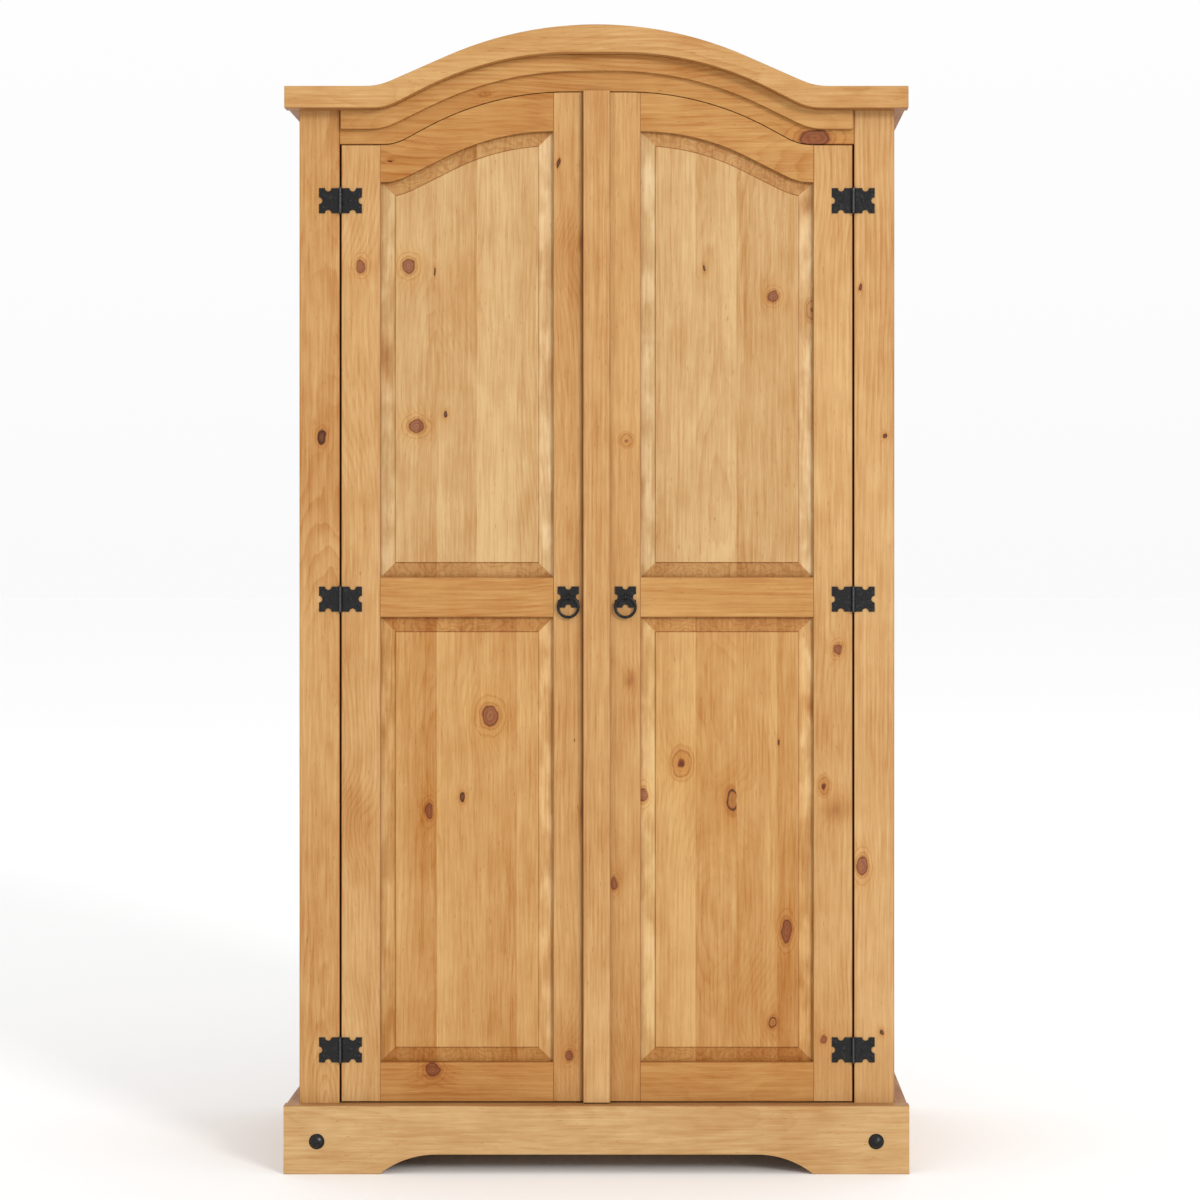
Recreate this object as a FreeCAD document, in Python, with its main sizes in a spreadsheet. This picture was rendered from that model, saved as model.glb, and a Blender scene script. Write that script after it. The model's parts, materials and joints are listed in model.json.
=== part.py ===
import FreeCAD, Part
import math
import os
import re

import Sketcher

# A two-door wardrobe in solid pine with an arched cornice and raised panels. Millimetres.
# +X is to the right as one faces the doors, the doors face -Y, +Z is up, and the origin is on the
# floor, in the middle of the footprint.

# The driving dimensions, one cell of the sheet each.
SIZES = {
    # whole piece
    "overall_depth": 560,
    "case_width": 973,
    "shoulder_height": 1770,
    "plinth_overhang": 22.5,
    "cornice_overhang": 21,
    # face frame
    "post_width": 66,
    # cornice and the two steps below it
    "cornice_thickness": 28,
    "cornice_return": 17,
    "cornice_end_drop": 36,
    "cornice_rise": 100,
    "cornice_end_flat": 131.5,
    "cornice_straight": 100,
    "cornice_foot_radius": 103,
    "soffit_rise": 91,
    "soffit_end_flat": 140,
    "soffit_crown_flat": 37,
    "soffit_straight": 49,
    "soffit_foot_radius": 95,
    "moulding_thickness": 8,
    "moulding_drop": 31.5,
    "moulding_rise": 95.5,
    "moulding_end_flat": 46.5,
    "moulding_crown_flat": 26,
    "moulding_straight": 66,
    "moulding_foot_radius": 107,
    "moulding_end_gap": 2.2,
    "header_drop": 23.5,
    "header_rise": 86.5,
    "header_foot_inset": 3,
    "header_crown_flat": 47,
    "header_straight": 35,
    "header_foot_radius": 81,
    "header_set_down": 10,
    # plinth
    "plinth_height": 111.5,
    "plinth_thickness": 25,
    "plinth_return": 20.5,
    "plinth_foot": 156,
    "cutout_height": 32,
    "cutout_radius": 148,
    "stud_inset": 54,
    "stud_height": 53.2,
    "stud_radius": 12.75,
    "stud_rise": 7,
    "stud_shank": 4,
    "stud_shank_length": 14,
    # doors
    "door_thickness": 21,
    "door_stop_gap": 1,
    "door_side_gap": 2.5,
    "door_meeting_gap": 3,
    "door_top_gap": 1.4,
    "door_bottom_gap": 2,
    "outer_stile": 64,
    "inner_stile": 70,
    "bottom_rail": 64.5,
    "mid_rail_height": 905.6,
    "mid_rail": 65.4,
    "arched_rail_end": 61,
    "opening_rise": 84,
    "opening_straight": 72.7,
    "opening_foot_radius": 100,
    "strip_width": 44,
    "strip_thickness": 10,
    "strip_relief": 0.5,
    # raised panels
    "groove_depth": 10,
    "groove_face": 7.8,
    "tongue_thickness": 6,
    "tongue_reach": 7,
    "tongue_slack": 0.2,
    "bevel_width": 24.5,
    "bevel_rise": 5,
    "field_step": 1.5,
    # sides, back, floor and top
    "side_thickness": 20,
    "side_front_stile": 50,
    "side_rear_stile": 60,
    "side_foot": 60,
    "side_bottom_rail": 110,
    "side_top_rail": 70,
    "side_panel": 10,
    "side_groove": 8,
    "side_reach": 7,
    "back_thickness": 6,
    "back_foot": 60,
    "joint_strip_width": 50,
    "joint_strip_thickness": 15,
    "board_thickness": 18,
    "floor_cleat": 20,
    "floor_set_down": 0.5,
    # shelf and hanging rail
    "shelf_drop": 252,
    "shelf_thickness": 16,
    "shelf_setback": 25,
    "shelf_cleat_height": 90,
    "shelf_cleat_thickness": 18,
    "rail_drop": 80,
    "rail_radius": 12.5,
    "rail_wall": 1.5,
    "socket_wall": 4,
    "socket_length": 12,
    "rail_play": 0.05,
    "rail_end_gap": 1,
    # hinges
    "hinge_low_rise": 84.5,
    "hinge_middle": 935,
    "hinge_high_drop": 91,
    "leaf_width": 35,
    "leaf_height": 41,
    "leaf_thickness": 1.5,
    "leaf_relief": 3.2,
    "leaf_notch": 5.4,
    "leaf_notch_inset": 15,
    "knuckle_radius": 3.5,
    "knuckle_gap": 0.2,
    "hinge_clearance": 0.3,
    "pin_radius": 1.5,
    "pin_play": 0.05,
    "pin_head": 2.4,
    "screw_head": 2.6,
    "screw_rise": 1.1,
    "screw_shank": 1.4,
    "screw_length": 12,
    "screw_edge": 5.5,
    "screw_spread": 11,
    "screw_near": 15.5,
    # ring pulls
    "pull_height": 938.5,
    "pull_width": 34.5,
    "pull_thickness": 2,
    "pull_notch": 5,
    "eye_wire": 1.5,
    "eye_root": 0.5,
    "ring_radius": 16.4,
    "ring_wire": 2.4,
    "ring_play": 0.4,
    # magnetic catches
    "catch_inset": 60,
    "catch_width": 45,
    "catch_depth": 20,
    "catch_height": 16,
    "catch_plate_width": 38,
    "catch_plate_height": 15,
    "catch_plate_thickness": 1.2,
    "catch_gap": 0.4,
}

# Planes and edges that the pieces share, each worked out from the driving dimensions.
PLACES = {
    # depth, front to back
    "front": "plinth_thickness + stud_rise - overall_depth / 2",
    "back": "overall_depth / 2",
    "behind_face": "behind_door + door_stop_gap",
    "before_back": "back - back_thickness",
    "before_joint_strip": "before_back - joint_strip_thickness",
    "behind_door": "front + door_thickness",
    "groove_front": "front + groove_face",
    "groove_back": "groove_front + tongue_thickness + 2 * tongue_slack",
    "hinge_depth": "front - hinge_clearance - knuckle_radius",
    "eye_radius": "eye_wire + ring_wire + ring_play",
    "eye_depth": "front - eye_root - eye_wire - eye_radius",
    # width, from the middle outwards
    "door_inner": "door_meeting_gap / 2",
    "inner_edge": "door_inner + inner_stile",
    "outer_edge": "door_outer - outer_stile",
    "door_outer": "opening_side - door_side_gap",
    "hinge_side": "opening_side - door_side_gap / 2",
    "opening_side": "case_side - post_width",
    "inner_side": "case_side - side_thickness",
    "case_side": "case_width / 2",
    "cornice_side": "case_side + cornice_overhang",
    "plinth_side": "case_side + plinth_overhang",
    "cleat_side": "inner_side - shelf_cleat_thickness",
    "moulding_side": "opening_side - moulding_end_gap",
    "cutout_half": "plinth_side - plinth_foot",
    "pull_inset": "(strip_width / 2 + inner_edge) / 2",
    # height, from the floor up
    "door_bottom": "plinth_height + door_bottom_gap",
    "bottom_rail_top": "door_bottom + bottom_rail",
    "mid_rail_top": "mid_rail_height + mid_rail",
    "opening_foot": "door_foot - arched_rail_end",
    "opening_crown": "opening_foot + opening_rise",
    "door_foot": "header_foot - door_top_gap",
    "door_crown": "header_crown - door_top_gap",
    "header_foot": "moulding_foot - header_drop",
    "header_crown": "header_foot + header_rise",
    "moulding_foot": "soffit_foot - moulding_drop",
    "moulding_crown": "moulding_foot + moulding_rise",
    "soffit_foot": "shoulder_height - cornice_end_drop",
    "soffit_crown": "soffit_foot + soffit_rise",
    "cornice_crown": "shoulder_height + cornice_rise",
    "floor_top": "plinth_height - floor_set_down",
    "floor_under": "floor_top - board_thickness",
    "top_under": "shoulder_height - board_thickness",
    "shelf_height": "top_under - shelf_drop",
    "shelf_under": "shelf_height - shelf_thickness",
    "rail_height": "shelf_height - rail_drop",
    "hinge_low": "door_bottom + hinge_low_rise",
    "hinge_high": "door_foot - hinge_high_drop",
}

HINGE_HEIGHTS = ("hinge_low", "hinge_middle", "hinge_high")
CASE_KNUCKLES = (0, 2, 4)
DOOR_KNUCKLES = (1, 3)
X_AXIS = FreeCAD.Vector(1, 0, 0)
Y_AXIS = FreeCAD.Vector(0, 1, 0)
TO_X = FreeCAD.Rotation(Y_AXIS, 90)
TO_FRONT = FreeCAD.Rotation(X_AXIS, 90)
UPRIGHT = FreeCAD.Rotation()

doc = FreeCAD.newDocument("Wardrobe")
pieces = []


# ---- sizes -------------------------------------------------------------------------------------


def write_sheet():
    """One row for each driving dimension: its name, and its value in an aliased cell."""
    sheet = doc.addObject("Spreadsheet::Sheet", "Size")
    for row, (alias, value) in enumerate(SIZES.items(), start=1):
        sheet.set(f"A{row}", alias.replace("_", " "))
        sheet.set(f"B{row}", str(value))
        sheet.setAlias(f"B{row}", alias)
    doc.recompute()
    return sheet


def formula(text):
    """Spell out a length in cells of the sheet, through any places that it names."""
    def spell(match):
        word = match.group()
        if word in SIZES:
            return "Size." + word
        if word in PLACES:
            return "(" + formula(PLACES[word]) + ")"
        return word
    return re.sub(r"[a-z][a-z_]*", spell, str(text))


def number(text):
    return float(sheet.evalExpression(formula(text)))


def place(thing, x=None, y=None, z=None, turn=UPRIGHT):
    thing.Placement = FreeCAD.Placement(FreeCAD.Vector(), turn)
    for axis, text in (("x", x), ("y", y), ("z", z)):
        if text is not None:
            thing.setExpression(f"Placement.Base.{axis}", formula(text))


# ---- solids from primitives --------------------------------------------------------------------


def block(name, x, y, z):
    """A rectangular solid between two bounds on each axis."""
    box = doc.addObject("Part::Box", name)
    for size, (low, high) in (("Length", x), ("Width", y), ("Height", z)):
        box.setExpression(size, formula(f"({high}) - ({low})"))
    place(box, x[0], y[0], z[0])
    return box


def rod(name, radius, length, x, y, z, turn=UPRIGHT):
    """A round bar that starts at a point and runs along the turned Z axis."""
    bar = doc.addObject("Part::Cylinder", name)
    bar.setExpression("Radius", formula(radius))
    bar.setExpression("Height", formula(length))
    place(bar, x, y, z, turn)
    return bar


def dome(name, radius, rise, x, y, z):
    """A low round head that stands on an upright face and swells to the front."""
    cap = doc.addObject("Part::Sphere", name)
    sphere = f"(({radius})^2 + ({rise})^2) / (2 * ({rise}))"
    cap.setExpression("Radius", formula(sphere))
    cap.setExpression("Angle1", formula(f"asin(1 - ({rise}) / ({sphere}))"))
    place(cap, x, f"({y}) + {sphere} - ({rise})", z, TO_FRONT)
    return cap


def ring(name, radius, wire, x, y, z, turn):
    torus = doc.addObject("Part::Torus", name)
    torus.setExpression("Radius1", formula(radius))
    torus.setExpression("Radius2", formula(wire))
    place(torus, x, y, z, turn)
    return torus


def fuse(name, solids):
    joined = doc.addObject("Part::MultiFuse", name)
    joined.Shapes = solids
    return joined


def group(name, solids):
    """Separate solids that share one node."""
    together = doc.addObject("Part::Compound", name)
    together.Links = solids
    return together


def cut(name, base, tools):
    trimmed = doc.addObject("Part::Cut", name)
    trimmed.Base = base
    trimmed.Tool = tools[0] if len(tools) == 1 else fuse(name + "_tools", tools)
    return trimmed


def mirror(name, source):
    """The same piece on the other side of the middle."""
    copy = doc.addObject("Part::Mirroring", name)
    copy.Source = source
    copy.Normal = X_AXIS
    return copy


def both_sides(name, solids):
    """One node that holds the given solids and their mirrored copies."""
    copies = [mirror(f"{name}_mirrored_{i}", solid) for i, solid in enumerate(solids)]
    return group(name, solids + copies)


def keep(thing):
    """Hand a finished piece in under its own name."""
    pieces.append(thing)
    return thing


def pair(name, source):
    """A right-hand piece and its left-hand mirror image, each a node."""
    source.Label = "right_" + name
    keep(source)
    keep(mirror("left_" + name, source))


# ---- outlines and bodies -----------------------------------------------------------------------


def straight_edge(sketch, start, end):
    line = sketch.addGeometry(Part.LineSegment(FreeCAD.Vector(*start), FreeCAD.Vector(*end)))
    return (line, 1), (line, 2)


def add_arc(sketch, centre, radius, first, last):
    circle = Part.Circle(FreeCAD.Vector(*centre), FreeCAD.Vector(0, 0, 1), radius)
    return sketch.addGeometry(Part.ArcOfCircle(circle, first, last))


def round_edge(sketch, start, end, radius):
    """An arc about a centre straight below its higher end."""
    high, low = (start, end) if start[1] > end[1] else (end, start)
    size = number(radius)
    centre = (high[0], high[1] - size)
    low_angle = math.atan2(low[1] - centre[1], low[0] - centre[0])
    first, last = sorted((low_angle, math.pi / 2))
    arc = add_arc(sketch, centre, size, first, last)
    index = sketch.addConstraint(Sketcher.Constraint("Radius", arc, size))
    sketch.setExpression(f"Constraints[{index}]", formula(radius))
    starts_first = (start is low) == (low_angle == first)
    return ((arc, 1), (arc, 2)) if starts_first else ((arc, 2), (arc, 1))


def ogee_edge(sketch, start, end, straight, foot_radius):
    """Half an arch: level at the crown, rounded over, straight down, and swept out level at the foot.

    With rise, span and straight length given, the slope is 2 atan(rise / (span + straight)).
    """
    crown, foot = (start, end) if start[1] > end[1] else (end, start)
    span = abs(foot[0] - crown[0])
    side = math.copysign(1, foot[0] - crown[0])
    length = number(straight)
    foot_size = number(foot_radius)
    slope = 2 * math.atan((crown[1] - foot[1]) / (span + length))
    crown_size = (span - length * math.cos(slope)) / math.sin(slope) - foot_size
    crown_centre = (crown[0], crown[1] - crown_size)
    foot_centre = (foot[0], foot[1] + foot_size)
    up = math.pi / 2
    top = sorted((up, up - side * slope))
    bottom = sorted((-up, -up - side * slope))
    over = add_arc(sketch, crown_centre, crown_size, *top)
    under = add_arc(sketch, foot_centre, foot_size, *bottom)
    run = (side * math.sin(slope), math.cos(slope))
    upper = (crown_centre[0] + crown_size * run[0], crown_centre[1] + crown_size * run[1])
    lower = (foot_centre[0] - foot_size * run[0], foot_centre[1] - foot_size * run[1])
    line = straight_edge(sketch, upper, lower)[0][0]
    crown_end, over_end = (2, 1) if side > 0 else (1, 2)
    foot_end, under_end = (2, 1) if side > 0 else (1, 2)
    add = sketch.addConstraint
    add(Sketcher.Constraint("Tangent", over, over_end, line, 1))
    add(Sketcher.Constraint("Tangent", line, 2, under, under_end))
    add(Sketcher.Constraint("Vertical", over, 3, over, crown_end))
    add(Sketcher.Constraint("Vertical", under, 3, under, foot_end))
    index = add(Sketcher.Constraint("Distance", line, length))
    sketch.setExpression(f"Constraints[{index}]", formula(straight))
    index = add(Sketcher.Constraint("Radius", under, foot_size))
    sketch.setExpression(f"Constraints[{index}]", formula(foot_radius))
    ends = ((over, crown_end), (under, foot_end))
    return ends if crown is start else ends[::-1]


def pin_point(sketch, point, x, z):
    """Hold a corner at its distances from the sketch's origin."""
    for kind, axis, text in (("DistanceX", -2, x), ("DistanceY", -1, z)):
        value = number(text)
        if abs(value) < 1e-9:
            sketch.addConstraint(Sketcher.Constraint("PointOnObject", *point, axis))
            continue
        index = sketch.addConstraint(Sketcher.Constraint(kind, -1, 1, *point, value))
        sketch.setExpression(f"Constraints[{index}]", formula(text))


def outline(sketch, corners):
    """A closed boundary: corners (x, z), or (x, z, edge, sizes...) where a curved edge leaves."""
    edges = []
    for corner, following in zip(corners, corners[1:] + corners[:1]):
        start = (number(corner[0]), number(corner[1]))
        end = (number(following[0]), number(following[1]))
        edge = corner[2] if len(corner) > 2 else straight_edge
        edges.append(edge(sketch, start, end, *corner[3:]))
    for corner, this, previous in zip(corners, edges, edges[-1:] + edges[:-1]):
        sketch.addConstraint(Sketcher.Constraint("Coincident", *previous[1], *this[0]))
        pin_point(sketch, this[0], corner[0], corner[1])


def arch_line(half, end, foot, crown, crown_flat, straight, foot_radius):
    """The corners of a whole arch, left to right, with level ends and a level crown."""
    edge = (ogee_edge, straight, foot_radius)
    line = [
        (f"-({end})", foot),
        (f"-({half})", foot, *edge),
        (f"-({crown_flat})", crown),
        (crown_flat, crown, *edge),
        (half, foot),
        (end, foot),
    ]
    if number(crown_flat) == 0:
        del line[3]
        line[2] = ("0", crown, *edge)
    return line


def backwards(corners):
    """The same corners in the opposite order, each curve still between its own two corners."""
    edges = [corner[2:] for corner in corners]
    turned = [corner[:2] for corner in reversed(corners)]
    leaving = list(reversed(edges[:-1])) + [()]
    return [point + edge for point, edge in zip(turned, leaving)]


def new_body(name, depth):
    """A body whose own front plane stands at the given depth."""
    body = doc.addObject("PartDesign::Body", name)
    place(body, y=depth)
    return body


def sketch_on(body, name, depth, corners):
    """A sketch of X against Z, parallel to the body's front plane and behind it by the depth."""
    plane = next(f for f in body.Origin.OriginFeatures if f.Role == "XZ_Plane")
    sketch = body.newObject("Sketcher::SketchObject", name)
    sketch.AttachmentSupport = [(plane, "")]
    sketch.MapMode = "FlatFace"
    sketch.setExpression("AttachmentOffset.Base.z", formula(f"-({depth})"))
    outline(sketch, corners)
    return sketch


def pad(body, name, profile, length, to_the_back=True, taper=None):
    feature = body.newObject("PartDesign::Pad", name)
    feature.Profile = profile
    feature.Reversed = to_the_back
    feature.setExpression("Length", formula(length))
    if taper:
        feature.setExpression("TaperAngle", formula(taper))
    doc.recompute()
    return feature


def pocket(body, name, profile, length):
    """Cut from the sketch towards the back, and make sure that it did cut."""
    before = body.Shape.Volume
    feature = body.newObject("PartDesign::Pocket", name)
    feature.Profile = profile
    feature.setExpression("Length", formula(length))
    doc.recompute()
    if body.Shape.Volume >= before:
        raise RuntimeError(f"{name} cuts nothing")
    return feature


def arched_board(name, front, thickness, corners):
    """A flat board of one outline between two depths."""
    body = new_body(name, front)
    pad(body, name + "_pad", sketch_on(body, name + "_outline", "0", corners), thickness)
    return body


# ---- face frame, cornice and plinth ------------------------------------------------------------


def make_posts():
    post = block("right_face_stile", ("opening_side", "case_side"), ("front", "behind_face"),
                 ("0", "shoulder_height"))
    pair("face_stile", post)


def cornice_line(end, lowered):
    """The top of the cornice, or a line below it by a set distance."""
    return arch_line("cornice_side - cornice_end_flat", end, f"shoulder_height - ({lowered})",
                     f"cornice_crown - ({lowered})", "0", "cornice_straight", "cornice_foot_radius")


def soffit_line(end):
    return arch_line("cornice_side - soffit_end_flat", end, "soffit_foot", "soffit_crown",
                     "soffit_crown_flat", "soffit_straight", "soffit_foot_radius")


def header_line(end, gap):
    """The lower edge of the header rail, or a line below it by a gap."""
    return arch_line("outer_edge - header_foot_inset", end, f"header_foot - ({gap})",
                     f"header_crown - ({gap})", "header_crown_flat", "header_straight",
                     "header_foot_radius")


def make_cornice():
    corners = soffit_line("cornice_side") + backwards(cornice_line("cornice_side", "0"))
    keep(arched_board("cornice_front", "front - cornice_thickness", "cornice_thickness", corners))
    side = block("right_cornice_side", ("case_side", "case_side + cornice_return"),
                 ("front", "back"), ("soffit_foot", "shoulder_height"))
    pair("cornice_side", side)


def make_header():
    low_line = arch_line("opening_side - moulding_end_flat", "moulding_side", "moulding_foot",
                         "moulding_crown", "moulding_crown_flat", "moulding_straight",
                         "moulding_foot_radius")
    corners = low_line + backwards(soffit_line("moulding_side"))
    keep(arched_board("header_moulding", "front - moulding_thickness", "moulding_thickness", corners))
    corners = header_line("opening_side", "0")
    corners += backwards(cornice_line("opening_side", "header_set_down"))
    keep(arched_board("header_rail", "front", "behind_face - front", corners))


def stud_holes():
    return [rod(f"stud_hole_{name}", "stud_shank", "stud_shank_length", x,
                "front - plinth_thickness + stud_shank_length", "stud_height", TO_FRONT)
            for name, x in (("right", "plinth_side - stud_inset"), ("left", "stud_inset - plinth_side"))]


def make_plinth():
    level = "cutout_half - sqrt(2 * cutout_radius * cutout_height - cutout_height^2)"
    corners = [
        ("-(plinth_side)", "0"),
        ("-(cutout_half)", "0", round_edge, "cutout_radius"),
        (f"-({level})", "cutout_height"),
        (level, "cutout_height", round_edge, "cutout_radius"),
        ("cutout_half", "0"),
        ("plinth_side", "0"),
        ("plinth_side", "plinth_height"),
        ("-(plinth_side)", "plinth_height"),
    ]
    board = arched_board("plinth_board", "front - plinth_thickness", "plinth_thickness", corners)
    keep(cut("plinth_front", board, stud_holes()))
    side = block("right_plinth_side", ("case_side", "case_side + plinth_return"), ("front", "back"),
                 ("0", "plinth_height"))
    pair("plinth_side", side)
    x = "plinth_side - stud_inset"
    face = "front - plinth_thickness"
    head = dome("stud_head", "stud_radius", "stud_rise", x, face, "stud_height")
    shank = rod("stud_shank", "stud_shank", "stud_shank_length", x, f"{face} + stud_shank_length",
                "stud_height", TO_FRONT)
    keep(both_sides("plinth_studs", [fuse("stud", [head, shank])]))


# ---- sides, back, floor and top ----------------------------------------------------------------


def side_groove(name, y, z):
    middle = "inner_side + side_thickness / 2"
    return block(name, (f"{middle} - side_panel / 2", f"{middle} + side_panel / 2"), y, z)


def make_side_frames():
    x = ("inner_side", "case_side")
    front_edge = "behind_face + side_front_stile"
    rear_edge = "before_back - side_rear_stile"
    full = ("0", "shoulder_height")
    stile = block("side_front_board", x, ("behind_face", front_edge), full)
    groove = side_groove("side_front_groove", (f"{front_edge} - side_groove", front_edge), full)
    pair("side_front_stile", cut("right_side_front_stile", stile, [groove]))
    stile = block("side_rear_board", x, (rear_edge, "before_back"), full)
    groove = side_groove("side_rear_groove", (rear_edge, f"{rear_edge} + side_groove"), full)
    pair("side_rear_stile", cut("right_side_rear_stile", stile, [groove]))

    levels = [("side_foot", "side_foot + side_bottom_rail"), ("mid_rail_height", "mid_rail_top"),
              ("shoulder_height - side_top_rail", "shoulder_height")]
    edges = [(levels[0][1],), (levels[1][0], levels[1][1]), (levels[2][0],)]
    inside = (f"{front_edge} - side_groove", f"{rear_edge} + side_groove")
    between = (front_edge, rear_edge)
    rails = []
    for number_of_rail, (z, grooved) in enumerate(zip(levels, edges)):
        name = f"side_rail_{number_of_rail}"
        rail = fuse(name + "_board", [block(name + "_face", x, between, z),
                                      side_groove(name + "_tenons", inside, z)])
        grooves = []
        for edge in grooved:
            span = (edge, f"{edge} + side_groove") if edge == z[0] else (f"{edge} - side_groove", edge)
            grooves.append(side_groove(f"{name}_groove_{len(grooves)}", inside, span))
        rails.append(cut(name, rail, grooves))
    pair("side_rails", group("right_side_rails", rails))

    reach = (f"{front_edge} - side_reach", f"{rear_edge} + side_reach")
    upper = (f"{levels[1][1]} - side_reach", f"{levels[2][0]} + side_reach")
    lower = (f"{levels[0][1]} - side_reach", f"{levels[1][0]} + side_reach")
    pair("side_upper_panel", side_groove("right_side_upper_panel", reach, upper))
    pair("side_lower_panel", side_groove("right_side_lower_panel", reach, lower))


def make_back():
    panel = block("right_back_panel", ("0", "case_side"), ("before_back", "back"),
                  ("back_foot", "shoulder_height"))
    pair("back_panel", panel)
    half = "joint_strip_width / 2"
    keep(block("back_joint_strip", (f"-{half}", half), ("before_joint_strip", "before_back"),
               ("floor_top", "top_under")))


def make_floor_and_top():
    z = ("floor_under", "floor_top")
    wide = block("floor_board", ("-(inner_side)", "inner_side"), ("behind_face", "before_back"), z)
    lip = block("floor_lip", ("-(opening_side)", "opening_side"), ("front", "behind_face"), z)
    keep(fuse("floor_panel", [wide, lip]))
    keep(block("top_panel", ("-(inner_side)", "inner_side"), ("behind_face", "before_back"),
               ("top_under", "shoulder_height")))
    under = ("floor_under - floor_cleat", "floor_under")
    side = block("side_cleat", ("inner_side - floor_cleat", "inner_side"),
                 ("behind_face", "before_back"), under)
    reach = "inner_side - floor_cleat"
    front = block("front_cleat", (f"-({reach})", reach), ("behind_face", "behind_face + floor_cleat"), under)
    keep(group("floor_cleats", [side, mirror("side_cleat_mirrored", side), front]))


# ---- shelf and hanging rail --------------------------------------------------------------------


def make_shelf():
    depth = ("behind_face + shelf_setback", "before_joint_strip")
    keep(block("shelf", ("-(inner_side)", "inner_side"), depth, ("shelf_under", "shelf_height")))
    cleat = block("shelf_cleat", ("cleat_side", "inner_side"), depth,
                  ("shelf_under - shelf_cleat_height", "shelf_under"))
    keep(both_sides("shelf_cleats", [cleat]))


def make_hanging_rail():
    """A steel tube whose ends sit in two round sockets, half way back."""
    middle = "(behind_face + before_back) / 2"
    half = "cleat_side - rail_end_gap"
    tube = rod("rail_tube", "rail_radius", f"2 * ({half})", f"-({half})", middle, "rail_height", TO_X)
    bore = rod("rail_bore", "rail_radius - rail_wall", f"2 * ({half})", f"-({half})", middle,
               "rail_height", TO_X)
    keep(cut("hanging_rail", tube, [bore]))
    start = "cleat_side - socket_length"
    cup = rod("socket_cup", "rail_radius + socket_wall", "socket_length", start, middle,
              "rail_height", TO_X)
    seat = rod("socket_seat", "rail_radius + rail_play", "socket_length", start, middle,
               "rail_height", TO_X)
    keep(both_sides("rail_sockets", [cut("socket", cup, [seat])]))


# ---- doors -------------------------------------------------------------------------------------


def panel_groove(name, x, z):
    return block(name, x, ("groove_front", "groove_back"), z)


def door_block(name, x, z):
    return block(name, x, ("front", "behind_door"), z)


def door_head():
    """What is taken off the tops of the doors so that they clear the arched header."""
    line = header_line("opening_side", "door_top_gap")
    corners = line + [("opening_side", "cornice_crown"), ("-(opening_side)", "cornice_crown")]
    return arched_board("door_head", "front", "behind_face - front", corners)


def make_stiles(head):
    outer = door_block("outer_stile_board", ("outer_edge", "door_outer"), ("door_bottom", "door_foot"))
    groove = panel_groove("outer_groove", ("outer_edge", "outer_edge + groove_depth"),
                          ("door_bottom", "door_foot"))
    pair("door_outer_stile", cut("right_door_outer_stile", outer, [groove]))
    inner = door_block("inner_stile_board", ("door_inner", "inner_edge"), ("door_bottom", "door_crown"))
    groove = panel_groove("inner_groove", ("inner_edge - groove_depth", "inner_edge"),
                          ("door_bottom", "door_crown"))
    pair("door_inner_stile", cut("right_door_inner_stile", inner, [groove, head]))


def tenoned_rail(name, z, groove_edges):
    """A rail between the stiles, with a tongue at each end and a groove along each given edge."""
    between = ("inner_edge", "outer_edge")
    inside = ("inner_edge - groove_depth", "outer_edge + groove_depth")
    tenon = block(name + "_tenon", inside, ("groove_front + tongue_slack", "groove_back - tongue_slack"), z)
    rail = fuse(name + "_board", [door_block(name + "_face", between, z), tenon])
    grooves = [panel_groove(f"{name}_groove_{i}", inside, span) for i, span in enumerate(groove_edges)]
    return cut("right_" + name, rail, grooves)


def opening_line(outset):
    """The arched upper edge of a door's opening, or a line outside it, from foot to crown."""
    return [
        ("outer_edge", f"opening_foot + ({outset})", ogee_edge, "opening_straight",
         f"opening_foot_radius - ({outset})"),
        ("inner_edge", f"opening_crown + ({outset})"),
    ]


def make_rails(head):
    low = ("bottom_rail_top - groove_depth", "bottom_rail_top")
    pair("door_bottom_rail", tenoned_rail("door_bottom_rail", ("door_bottom", "bottom_rail_top"), [low]))
    edges = [("mid_rail_height", "mid_rail_height + groove_depth"),
             ("mid_rail_top - groove_depth", "mid_rail_top")]
    pair("door_mid_rail", tenoned_rail("door_mid_rail", ("mid_rail_height", "mid_rail_top"), edges))

    body = new_body("arched_rail_body", "front")
    corners = opening_line("0") + [("inner_edge", "door_crown"), ("outer_edge", "door_crown")]
    pad(body, "arched_rail_pad", sketch_on(body, "arched_rail_outline", "0", corners), "door_thickness")
    slot = opening_line("groove_depth") + [("inner_edge", "opening_foot"), ("outer_edge", "opening_foot")]
    groove = sketch_on(body, "arched_rail_groove", "groove_face", slot)
    pocket(body, "arched_rail_slot", groove, "tongue_thickness + 2 * tongue_slack")
    depth = ("groove_front + tongue_slack", "groove_back - tongue_slack")
    inner = block("arched_rail_inner_tenon", ("inner_edge - groove_depth", "inner_edge"), depth,
                  ("opening_crown + groove_depth", "door_crown - groove_depth"))
    outer = block("arched_rail_outer_tenon", ("outer_edge", "outer_edge + groove_depth"), depth,
                  ("opening_foot + groove_depth", "door_foot - groove_depth"))
    trimmed = cut("arched_rail_trimmed", body, [head])
    pair("door_arched_rail", fuse("right_door_arched_rail", [trimmed, inner, outer]))


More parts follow.
